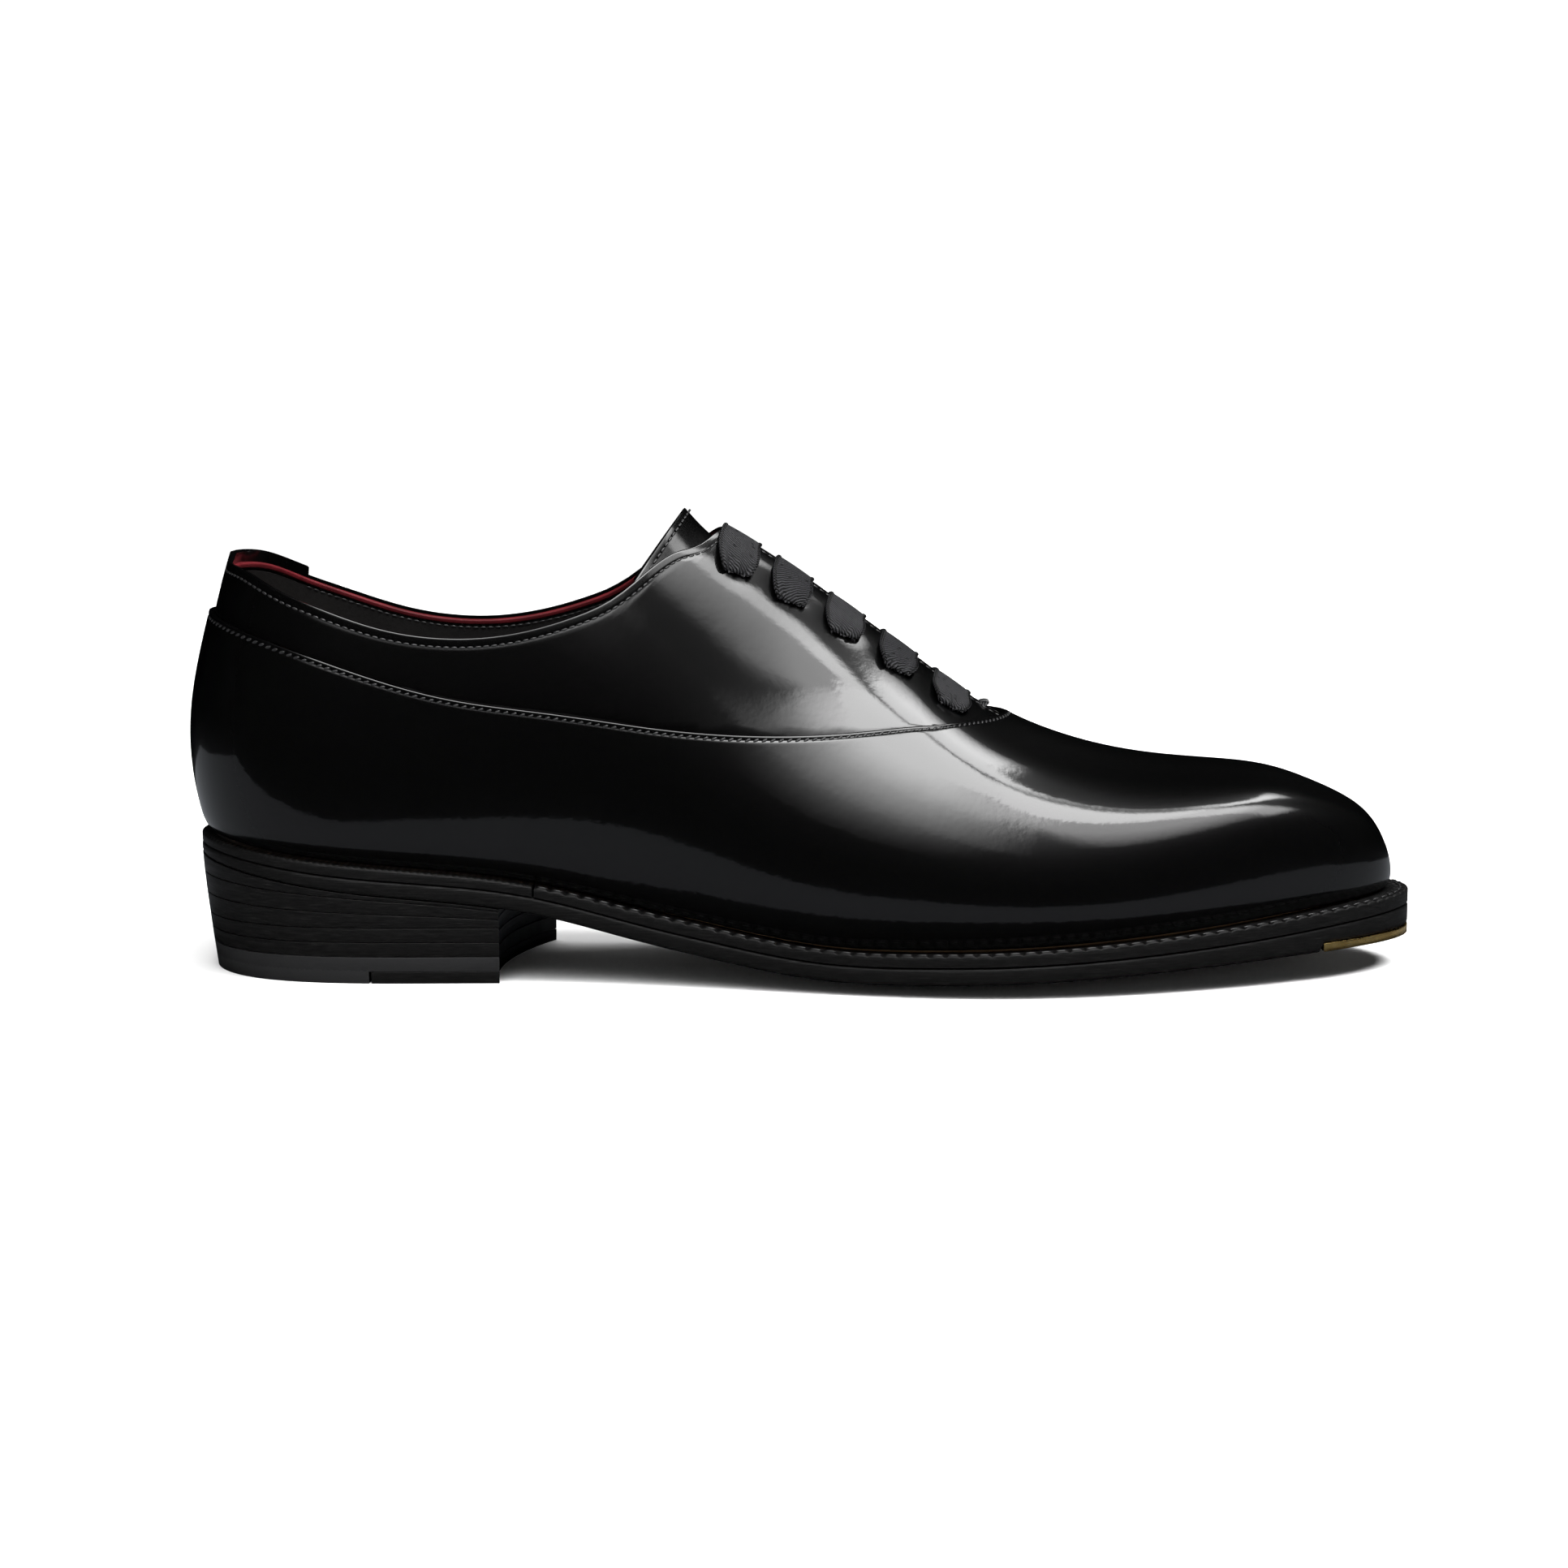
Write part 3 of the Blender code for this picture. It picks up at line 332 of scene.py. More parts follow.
def line_distance(points, line):
    """Distance from each point to a dense polyline."""
    flat = points.reshape(-1, 3)
    out = np.empty(len(flat))
    a, ab = line[:-1], np.diff(line, axis=0)
    length = np.maximum((ab**2).sum(1), 1e-12)
    offset = (a * ab).sum(1)
    for k in range(0, len(flat), 2000):
        p = flat[k:k + 2000]
        s = np.clip((p @ ab.T - offset) / length, 0, 1)
        gap = ((p**2).sum(1)[:, None] - 2 * (p @ a.T + s * (p @ ab.T)) + ((a**2).sum(1) + 2 * s * offset
                                                                         + s**2 * length))
        out[k:k + 2000] = np.sqrt(np.maximum(gap.min(1), 0))
    return out.reshape(points.shape[:2])


def resample(line, pitch, normals=None):
    """Points every pitch along a polyline, with their directions and normals."""
    arc = np.concatenate([[0], np.cumsum(np.linalg.norm(np.diff(line, axis=0), axis=1))])
    count = max(int(arc[-1] / pitch), 1)
    places = (np.arange(count) + .5) * arc[-1] / count
    at = np.array([np.interp(places, arc, line[:, k]) for k in range(3)]).T
    ahead = np.array([np.interp(places + .2, arc, line[:, k]) for k in range(3)]).T
    behind = np.array([np.interp(places - .2, arc, line[:, k]) for k in range(3)]).T
    along = ahead - behind
    along /= np.linalg.norm(along, axis=1, keepdims=True)
    if normals is None:
        return at, along
    out = np.array([np.interp(places, arc, normals[:, k]) for k in range(3)]).T
    out /= np.linalg.norm(out, axis=1, keepdims=True)
    return at, along, out


def finish_piece(ob, material, body, slot_name, *nodes):
    ob.data.materials.clear()
    ob.data.materials.append(material)
    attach(ob, body)
    if nodes:
        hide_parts(*nodes)
    return ob


# ------------------------------------------------------------------ materials
def node_material(name, colour, rough, metal=0.0, spec=0.5, coat=0.0):
    m = bpy.data.materials.new(name)
    m.use_nodes = True
    tree = m.node_tree
    b = tree.nodes["Principled BSDF"]
    b.inputs["Base Color"].default_value = (*colour, 1)
    b.inputs["Roughness"].default_value = rough
    b.inputs["Metallic"].default_value = metal
    b.inputs["Specular IOR Level"].default_value = spec
    b.inputs["Coat Weight"].default_value = coat
    b.inputs["Coat Roughness"].default_value = .03
    return m, tree, b


def add(tree, kind, **values):
    node = tree.nodes.new(kind)
    for key, value in values.items():
        if key in node.inputs:
            node.inputs[key].default_value = value
        else:
            setattr(node, key, value)
    return node


def object_coords(tree, scale=(1, 1, 1)):
    coords = tree.nodes.new("ShaderNodeTexCoord")
    mapping = tree.nodes.new("ShaderNodeMapping")
    mapping.inputs["Scale"].default_value = scale
    tree.links.new(coords.outputs["Object"], mapping.inputs["Vector"])
    return mapping.outputs["Vector"]


def noise(tree, vector, scale, detail=3.0, rough=0.5, distortion=0.0):
    node = add(tree, "ShaderNodeTexNoise")
    node.inputs["Scale"].default_value = scale
    node.inputs["Detail"].default_value = detail
    node.inputs["Roughness"].default_value = rough
    node.inputs["Distortion"].default_value = distortion
    tree.links.new(vector, node.inputs["Vector"])
    return node.outputs["Fac"]


def ramp(tree, value, stops):
    node = tree.nodes.new("ShaderNodeValToRGB")
    elements = node.color_ramp.elements
    while len(elements) < len(stops):
        elements.new(.5)
    for element, (place, colour) in zip(elements, stops):
        element.position = place
        element.color = (*colour, 1) if len(colour) == 3 else colour
    tree.links.new(value, node.inputs["Fac"])
    return node.outputs["Color"]


def spread(tree, value, low, high):
    """Maps 0..1 to low..high."""
    node = tree.nodes.new("ShaderNodeMapRange")
    node.inputs["To Min"].default_value = low
    node.inputs["To Max"].default_value = high
    tree.links.new(value, node.inputs["Value"])
    return node.outputs["Result"]


def bump(tree, height, strength, distance, after=None):
    node = tree.nodes.new("ShaderNodeBump")
    node.inputs["Strength"].default_value = strength
    node.inputs["Distance"].default_value = distance
    tree.links.new(height, node.inputs["Height"])
    if after is not None:
        tree.links.new(after, node.inputs["Normal"])
    return node.outputs["Normal"]


def patent_leather(settings):
    """Black patent: a glassy coat with faint orange peel over hazier, softly pulled leather."""
    m, tree, b = node_material("patent_leather", settings.patent_colour, .3, spec=.11, coat=.85)
    at = object_coords(tree)
    pull = bump(tree, noise(tree, at, 38, 2), .10, .0006)
    drum = bump(tree, noise(tree, at, 170, 2), .5, .00005, pull)
    peel = bump(tree, noise(tree, at, 760, 2), .6, .00002, drum)
    dust = noise(tree, at, 90, 4)
    tree.links.new(pull, b.inputs["Normal"])
    tree.links.new(peel, b.inputs["Coat Normal"])
    tree.links.new(spread(tree, dust, settings.patent_gloss * .6, settings.patent_gloss * 1.5),
                   b.inputs["Coat Roughness"])
    return m


def lining_leather():
    m, tree, b = node_material("lining_leather", (.006, .0055, .0055), .5)
    at = object_coords(tree)
    grain = noise(tree, at, 900, 5, .6)
    tree.links.new(bump(tree, grain, .35, .0002), b.inputs["Normal"])
    shades = [(.3, (.004, .0037, .0037)), (.7, (.009, .0082, .008))]
    tree.links.new(ramp(tree, noise(tree, at, 60, 3), shades), b.inputs["Base Color"])
    tree.links.new(spread(tree, grain, .42, .62), b.inputs["Roughness"])
    return m


def red_leather():
    m, tree, b = node_material("red_tape", (.07, .004, .007), .55, spec=.25)
    at = object_coords(tree)
    grain = noise(tree, at, 1200, 4, .6)
    tree.links.new(bump(tree, grain, .3, .00015), b.inputs["Normal"])
    tree.links.new(ramp(tree, noise(tree, at, 150, 3), [(.3, (.055, .003, .005)), (.7, (.11, .007, .011))]),
                   b.inputs["Base Color"])
    return m


def waxed_edge(name, grain_scale, gloss, tone=1.0):
    """Black inked and waxed leather edge: fine level grain, satin, with paler fibres here and there."""
    m, tree, b = node_material(name, (.004, .0039, .0039), gloss)
    b.inputs["Specular IOR Level"].default_value = .14
    level_grain = noise(tree, object_coords(tree, (14, 14, grain_scale)), 3.0, 6, .65, .4)
    fibre = noise(tree, object_coords(tree, (60, 60, grain_scale * 2.2)), 4.0, 4, .6)
    speck = noise(tree, object_coords(tree), 420, 3)
    rough = bump(tree, level_grain, .55, .00025)
    tree.links.new(bump(tree, speck, .25, .0001, rough), b.inputs["Normal"])
    shades = [(place, tuple(tone * c for c in colour)) for place, colour in
              ((.35, (.0018, .0018, .0019)), (.62, (.0045, .0044, .0044)), (.80, (.018, .0175, .017)))]
    tree.links.new(ramp(tree, fibre, shades), b.inputs["Base Color"])
    tree.links.new(spread(tree, level_grain, gloss * .75, gloss * 1.45), b.inputs["Roughness"])
    return m


def heel_rubber():
    m, tree, b = node_material("heel_rubber", (.010, .010, .011), .62, spec=.4)
    grain = noise(tree, object_coords(tree), 1500, 3)
    tree.links.new(bump(tree, grain, .3, .00012), b.inputs["Normal"])
    tree.links.new(spread(tree, noise(tree, object_coords(tree), 200, 3), .5, .75), b.inputs["Roughness"])
    return m


def brushed_brass():
    m, tree, b = node_material("toe_brass", (.80, .56, .20), .26, metal=1.0)
    scratch = noise(tree, object_coords(tree, (60, 60, 1400)), 3.0, 4)
    pit = noise(tree, object_coords(tree), 700, 3)
    tree.links.new(bump(tree, pit, .15, .0001, bump(tree, scratch, .35, .00012)), b.inputs["Normal"])
    tree.links.new(ramp(tree, noise(tree, object_coords(tree), 180, 4),
                        [(.3, (.62, .40, .12)), (.55, (.83, .59, .22)), (.8, (.92, .70, .32))]),
                   b.inputs["Base Color"])
    tree.links.new(spread(tree, scratch, .18, .40), b.inputs["Roughness"])
    return m


def sewing_thread():
    m, tree, b = node_material("sewing_thread", (.012, .012, .0125), .3)
    ply = noise(tree, object_coords(tree), 2600, 2)
    tree.links.new(bump(tree, ply, .6, .0001), b.inputs["Normal"])
    tree.links.new(spread(tree, ply, .28, .5), b.inputs["Roughness"])
    return m


def twill_ribbon():
    """Black twill ribbon: slanting ribs over fine threads, read from the ribbon's own UV, in millimetres; the
    colour is painted darker in the ribs' grooves and lighter on their crests, as painted shade.
    """
    m, tree, b = node_material("twill_ribbon", (.004, .004, .0044), .5, spec=.3)
    uv = add(tree, "ShaderNodeUVMap", uv_map="ribbon")
    turned = tree.nodes.new("ShaderNodeMapping")
    turned.inputs["Rotation"].default_value = (0, 0, math.radians(38))
    tree.links.new(uv.outputs["UV"], turned.inputs["Vector"])
    ribs = add(tree, "ShaderNodeTexWave", wave_type="BANDS", bands_direction="X")
    ribs.inputs["Scale"].default_value = .42
    ribs.inputs["Distortion"].default_value = .6
    ribs.inputs["Detail"].default_value = 2
    ribs.inputs["Detail Scale"].default_value = 3
    tree.links.new(turned.outputs["Vector"], ribs.inputs["Vector"])
    threads = add(tree, "ShaderNodeTexWave", wave_type="BANDS", bands_direction="Y")
    threads.inputs["Scale"].default_value = 1.6
    threads.inputs["Distortion"].default_value = .4
    tree.links.new(uv.outputs["UV"], threads.inputs["Vector"])
    fuzz = noise(tree, object_coords(tree), 3000, 3)
    weave = bump(tree, threads.outputs["Fac"], .35, .00010, bump(tree, ribs.outputs["Fac"], 1.0, .00034))
    tree.links.new(bump(tree, fuzz, .3, .0001, weave), b.inputs["Normal"])
    # Painted shade: the colour follows the ribs, darker in the grooves and lighter on the crests.
    tree.links.new(ramp(tree, ribs.outputs["Fac"], [(.2, (.0015, .0015, .0017)), (.8, (.03, .03, .033))]),
                   b.inputs["Base Color"])
    return m


def plain_leather(name, dark, light):
    m, tree, b = node_material(name, light, .6)
    at = object_coords(tree)
    tree.links.new(ramp(tree, noise(tree, at, 70, 5), [(.3, dark), (.7, light)]), b.inputs["Base Color"])
    tree.links.new(bump(tree, noise(tree, at, 1100, 4), .3, .0002), b.inputs["Normal"])
    return m


def steel():
    m, tree, b = node_material("shank_steel", (.5, .5, .52), .35, metal=1.0)
    scratch = noise(tree, object_coords(tree, (20, 900, 900)), 2, 3)
    tree.links.new(bump(tree, scratch, .2, .0001), b.inputs["Normal"])
    return m


def gloss_plastic():
    m, tree, b = node_material("aglet_plastic", (.012, .012, .013), .14)
    tree.links.new(bump(tree, noise(tree, object_coords(tree), 800, 2), .1, .0001), b.inputs["Normal"])
    return m


MATERIALS = {}


def material(name):
    settings = bpy.context.scene.oxford_finish
    makers = {
        "patent": lambda: patent_leather(settings),
        "lining": lining_leather,
        "red": red_leather,
        "edge": lambda: waxed_edge("waxed_edge", 900, .42),
        "stack": lambda: waxed_edge("stacked_leather", 520, .40, 1.15),
        "bottom": lambda: waxed_edge("sole_bottom", 60, .30, 1.2),
        "rubber": heel_rubber,
        "brass": brushed_brass,
        "thread": sewing_thread,
        "ribbon": twill_ribbon,
        "tan": lambda: plain_leather("insole_leather", (.30, .17, .085), (.46, .29, .15)),
        "cork": lambda: plain_leather("cork", (.16, .09, .045), (.42, .26, .14)),
        "steel": steel,
        "aglet": gloss_plastic,
    }
    if name not in MATERIALS:
        MATERIALS[name] = makers[name]()
    return MATERIALS[name]


# ------------------------------------------------------------------ settings
class OxfordFinish(bpy.types.PropertyGroup):
    patent_colour: FloatVectorProperty(
        name="Patent colour", description="Colour under the patent coat", subtype="COLOR", size=3,
        default=(.0009, .0009, .00095), min=0, max=1)
    patent_gloss: FloatProperty(
        name="Patent roughness", description="Roughness of the patent coat", default=.055, min=0, max=1)
    fold: FloatProperty(
        name="Fold radius", description="How far a folded edge rounds over", default=.0005, unit="LENGTH")
    stitch_length: FloatProperty(
        name="Stitch length", description="Length of one upper stitch", default=.0016, unit="LENGTH")
    stitch_width: FloatProperty(
        name="Thread width", description="Width of the upper thread", default=.00062, unit="LENGTH")
    seam_pitch: FloatProperty(
        name="Seam stitch pitch", description="Spacing of stitches along the galosh", default=.0020,
        unit="LENGTH")
    top_pitch: FloatProperty(
        name="Topline stitch pitch", description="Spacing of stitches along the topline", default=.0019,
        unit="LENGTH")


class OxfordLace(bpy.types.PropertyGroup):
    width: FloatProperty(name="Ribbon width", description="Flat width of the ribbon lace", default=.0106,
                         unit="LENGTH")
    picot: FloatProperty(name="Edge stitch pitch", description="Spacing of the ribbon's edge stitches",
                         default=.00105, unit="LENGTH")


class OxfordBottom(bpy.types.PropertyGroup):
    wheel_pitch: FloatProperty(name="Wheel mark pitch", description="Spacing of marks on the welt",
                               default=.0037, unit="LENGTH")
    wheel_depth: FloatProperty(name="Wheel mark depth", description="Depth of marks on the welt",
                               default=.0005, unit="LENGTH")
    edge_round: FloatProperty(name="Edge rounding", description="Rounding of sole and lift edges",
                              default=.0006, unit="LENGTH")


class OxfordStage(bpy.types.PropertyGroup):
    front: FloatProperty(name="Front panel", description="Strength of the large panel overhead in front",
                         default=1.0, min=0)
    ambient: FloatProperty(name="Ambient", description="Strength of the room's light on matt surfaces",
                           default=.45, min=0)
    fill: FloatProperty(name="Floor fill", description="Strength of the light that whitens the floor",
                        default=3.2, min=0)


# ------------------------------------------------------------------ upper
def columns(x0, x1, *fine):
    """Turns from x0 to x1, closer together along the fine stretches (from, to, pitch)."""
    xs = [float(station(u)) for u in np.arange(turn(x0), turn(x1), 1 / 150)] + [x1]
    for a, b, pitch in fine:
        a, b = max(a, x0), min(b, x1)
        if b > a:
            xs = [x for x in xs if x < a or x > b] + list(np.linspace(a, b, int((b - a) / pitch) + 2))
    return [float(turn(x)) for x in sorted(set(np.round(xs, 4)))]


def across(x0, x1, *fine):
    """Turns from the lateral side at x0, round the heel, to the medial side at x1."""
    return [-u for u in reversed(columns(BACK, x0, *fine))] + columns(BACK, x1, *fine)[1:]


def rows_down(turns, top, low, marks, count, foot=()):
    """Heights down each column: at the marked distances from the top, evenly, then at those from the foot."""
    u = np.asarray(turns)
    t = np.linspace(top, low, 120).T
    p = bare(u[:, None], t)
    s = np.cumsum(np.linalg.norm(np.diff(p, axis=1, prepend=p[:, :1]), axis=2), axis=1)
    grid = []
    for row, arc in zip(t, s):
        total = max(arc[-1], 1e-6)
        scale = min(1, .6 * total / (marks[-1] + (foot[0] if foot else 0)))
        head, tail = np.array(marks) * scale, total - np.array(foot) * scale
        middle = np.linspace(head[-1], tail[0] if len(tail) else total, count + 2)
        inner = middle[1:-1] if len(tail) else middle[1:]
        grid.append(np.interp(np.concatenate([head, inner, tail]), arc, row))
    return np.array(grid)


def grid_of(turns, heights):
    """Points and outward directions of a sheet's grid."""
    return skin(np.asarray(turns)[:, None], heights)


def curve_points(curve, d=0.0):
    return skin(*curve, d)[0]


def folded(distance, radius, drop):
    """How far a folded edge falls away from the sheet's face."""
    s = 1 - np.clip(distance / radius, 0, 1)
    return -drop * (1 - np.sqrt(np.maximum(1 - s**2, 0)))


def groove(distance, place, depth, width=.33):
    return -depth * np.exp(-((distance - place) / width)**2)


def inset(curve, distance, d, inward=-1):
    """Points and outward directions on the sheet, a distance inside its edge of turns and heights."""
    u, t = curve
    along = np.gradient(curve_points(curve), axis=0)
    h = 1e-3
    hi, lo = np.minimum(u + h, 1), np.maximum(u - h, -1)
    pu = (bare(hi, t) - bare(lo, t)) / (hi - lo)[:, None]
    pt = (bare(u, t + h) - bare(u, t - h)) / (2 * h)
    aside = np.cross(np.cross(pt, pu), along)
    aside *= distance / np.linalg.norm(aside, axis=1, keepdims=True) * inward
    aa, ab, bb = (pu * pu).sum(1), (pu * pt).sum(1), (pt * pt).sum(1)
    ra, rb = (pu * aside).sum(1), (pt * aside).sum(1)
    det = aa * bb - ab**2
    return skin(u + (ra * bb - rb * ab) / det, t + (aa * rb - ab * ra) / det, d)


def seam_curve():
    q = np.linspace(0, math.sqrt(THROAT - BACK), 300)
    x = THROAT - q**2
    return np.concatenate([-turn(x), turn(x[::-1])[1:]]), np.concatenate([seam(x), seam(x[::-1])[1:]])


def topline_lift(u):
    """The heel tab stands above the topline, lateral quarter only."""
    return np.where(station(u) < TAB_X + .5, TAB_RISE * np.clip((u + .02) / .02, 0, 1), 0)


def top_curve(side):
    """The quarter's free edge, from the throat up the facing, along the topline to the heel."""
    x = np.concatenate([np.arange(THROAT - .4, 136, -1.0), np.arange(136, 118, -.25),
                        np.arange(118, BACK, -.8)])
    if side == MEDIAL:
        x = x[x > TAB_X + .2]
        return turn(x), topline(x)
    u = np.concatenate([-turn(x), turn(np.linspace(BACK, TAB_X, 24))])
    t = topline(station(u)) + topline_lift(u)
    down = np.linspace(t[-1], seam(TAB_X) + .05, 24)[1:]
    return np.concatenate([u, np.full(len(down), turn(TAB_X))]), np.concatenate([t, down])


STITCH_IN, TOP_STITCH_IN = 1.15, 2.2
EDGE_MARKS = (0, .08, .2, .36, .56, .8, 1.0, 1.15, 1.3, 1.45, 1.65, 2.0, 2.6, 3.6)
TOP_MARKS = (0, .08, .2, .36, .56, .8, 1.1, 1.5, 1.85, 2.05, 2.2, 2.35, 2.6, 3.1, 4.0, 5.5)
THROAT_FINE = (178, 207, .45)
TOP_FINE = (112, 134, .45)
FOOT_MARKS = (6.0, 4.6, 3.4, 2.4, 1.6, 1.0, .6, .3, .1, 0)
CUT_EDGE_ANGLE = 38


def build_galosh(fold):
    turns = [-1.0] + [-u for u in reversed(columns(BACK, TIP, THROAT_FINE)[:-1])]
    turns += columns(BACK, TIP, THROAT_FINE)[1:]
    x = station(turns)
    top = np.where(x < THROAT - .005, seam(x), 4.0)
    p, n = grid_of(turns, rows_down(turns, top, 0 * top, EDGE_MARKS, 30, FOOT_MARKS))
    edge = line_distance(p, curve_points(seam_curve()))
    foot = line_distance(p, curve_points((np.array(turns), 0 * x)))
    out = GALOSH + folded(edge, fold, .16) + groove(edge, STITCH_IN, .13) + folded(foot, 5.0, 1.5)
    inn = np.minimum(np.where(edge < 3.0, -.90, GALOSH_IN), out - .3)
    return shell("galosh_patent", p + n * out[..., None], p + n * inn[..., None], CUT_EDGE_ANGLE)


def dimples(p):
    """Leather drawn down round each eyelet by the ribbon."""
    total = np.zeros(p.shape[:2])
    for side in (LATERAL, MEDIAL):
        for at in skin(side * turn(np.array(EYELET_ROWS)), EYELET_PLACE)[0]:
            r = np.linalg.norm(p - at, axis=2)
            total -= .55 * np.exp(-(r / 2.7)**2) + .16 * np.exp(-(r / 6.0)**2)
    return total


def build_quarter(side, fold):
    end = THROAT + UNDERLAY - 1.0
    fine = (THROAT_FINE, TOP_FINE)
    if side == LATERAL:
        turns = across(end, TAB_X, *fine, (BACK, TAB_X, .8))
    else:
        turns = columns(TAB_X + .05, end, *fine, (TAB_X, TAB_X + 4, .5))
    u, x = np.array(turns), station(turns)
    top = topline(x) + (topline_lift(u) if side == LATERAL else 0)
    low = np.minimum(np.minimum(underlay(x), seam(x) - .1), top - .3)
    heights = rows_down(turns, top, low, TOP_MARKS, 32)
    p, n = grid_of(turns, heights)
    edge = line_distance(p, curve_points(top_curve(side)))
    under = heights < seam(x)[:, None]
    out = QUARTER + folded(edge, fold, .14) + groove(edge, TOP_STITCH_IN, .11) + dimples(p) - .3 * under
    if side == LATERAL:
        below = line_distance(p, curve_points(seam_curve()))
        out = out + .35 * np.clip((u[:, None] + .03) / .03, 0, 1) * np.clip(below / 1.2, 0, 1) * ~under
    inn = np.minimum(np.where(edge < 4, -2.2, QUARTER_IN), out - .3)
    name = "quarter_patent_lateral" if side == LATERAL else "quarter_patent_medial"
    return shell(name, p + n * out[..., None], p + n * inn[..., None], CUT_EDGE_ANGLE)


def tape_share(u):
    """Two millimetres of tape, as a share of the height scale."""
    return 2.0 / np.interp(station(u), (2, 90, 120, 130), (28, 29, 21, 17))


def build_tape():
    turns = np.array(across(129.0, 129.0, (112, 130, .6)))
    edge = topline(station(turns))
    share = tape_share(turns)
    p, n = grid_of(turns, np.linspace(edge - .30 * share, edge - .88 * share, 12).T)
    s = np.abs(np.linspace(-1, 1, 12))[None, :]
    inn = LINING_IN - .12 + .45 * s**5 + 0 * p[..., 0]
    out = np.full(p.shape[:2], LINING + .08)
    return shell("topline_tape_red", p + n * out[..., None], p + n * inn[..., None])


def build_lining(side):
    turns = np.array(sorted(side * u for u in columns(BACK + .03, THROAT + .5, TOP_FINE)))
    x = station(turns)
    top = topline(x) - np.where(x <= 129.4, tape_share(turns) + .01, .03)
    p, n = grid_of(turns, rows_down(turns, top, .02 + 0 * top, (0, .3, .8, 1.6), 26))
    name = "quarter_lining_black_" + ("lateral" if side == LATERAL else "medial")
    rub = .06 * np.sin(p[..., 0] / 9.0) * np.sin(p[..., 2] / 7.0)
    out, inn = LINING + 0 * rub, LINING_IN + rub
    return shell(name, p + n * out[..., None], p + n * inn[..., None])


def build_vamp_lining():
    """The forepart's lining, a cap from the throat to the toe tip."""
    cols = np.array(columns(THROAT + 1.3, TIP)[::-1])[:, None]
    depth = LINING - .15 + 1.5 * np.interp(station(cols), (208, 218, 238, 248), (0, 1, 1, 0))
    rows = np.linspace(0, 4, 21)

    def half(d):
        return np.concatenate([skin(-cols, rows, d)[0], skin(cols, rows[::-1][1:], d)[0]], axis=1)
    return shell("vamp_lining_black", half(depth), half(depth - .8))


# ------------------------------------------------------------------ tongue
TONGUE_TOP, TONGUE_ROOT, TONGUE_LIFT = 121.0, 201.0, 3.0


def tongue_grid(out, narrow, rows, cols):
    s, w = (np.linspace(0, 1, rows)**1.6)[:, None], np.sin(np.linspace(-1, 1, cols) * math.pi / 2)[None, :]
    x = TONGUE_TOP + (TONGUE_ROOT - 1.2 - TONGUE_TOP) * s + 0 * w
    side = np.where(w < 0, LATERAL, MEDIAL)
    t = 4 - np.abs(w) * ((1.62 - .62 * s**.8) - narrow)
    top_z = bare(turn(x), 4.0)[..., 2]
    place = x
    for _ in range(5):
        place = x - .7 * (1 - s) * (top_z - bare(side * turn(place), t)[..., 2])
    lift = TONGUE_LIFT * np.maximum(0, 1 - s / .13)**1.5 * np.maximum(0, 1 - np.abs(w)**1.5 / .7)
    return skin(side * turn(place), t, out + lift)


def build_tongue(fold):
    p, n = tongue_grid(TONGUE_OUT, 0, 44, 45)
    border = np.vstack([p[::-1, 0], p[0], p[:, -1]])
    edge = line_distance(p, border)
    out = folded(edge, fold, .6) + groove(edge, 1.6, .1)
    ob = shell("tongue_patent", p + n * out[..., None], p + n * -1.0)
    rows = []
    aside = np.cross(n[0], np.gradient(p[0], axis=0))
    aside /= np.linalg.norm(aside, axis=1, keepdims=True)
    aside *= np.sign((aside * (p[4] - p[0])).sum(1))[:, None]
    rows.append(resample((p[0] + aside * 1.6 + n[0] * .02)[3:-3], 1.9, n[0][3:-3]))
    for c in (0, -1):
        line, normals = p[6:30, c], n[6:30, c]
        aside = p[6:30, 4 if c == 0 else -5] - line
        aside /= np.linalg.norm(aside, axis=1, keepdims=True)
        rows.append(resample(line + aside * 1.6 + normals * .02, 1.9, normals))
    return ob, rows


def build_tongue_lining():
    p, n = tongue_grid(TONGUE_OUT - 1.15, .05, 26, 25)
    return shell("tongue_lining_black", p, p + n * -.6)


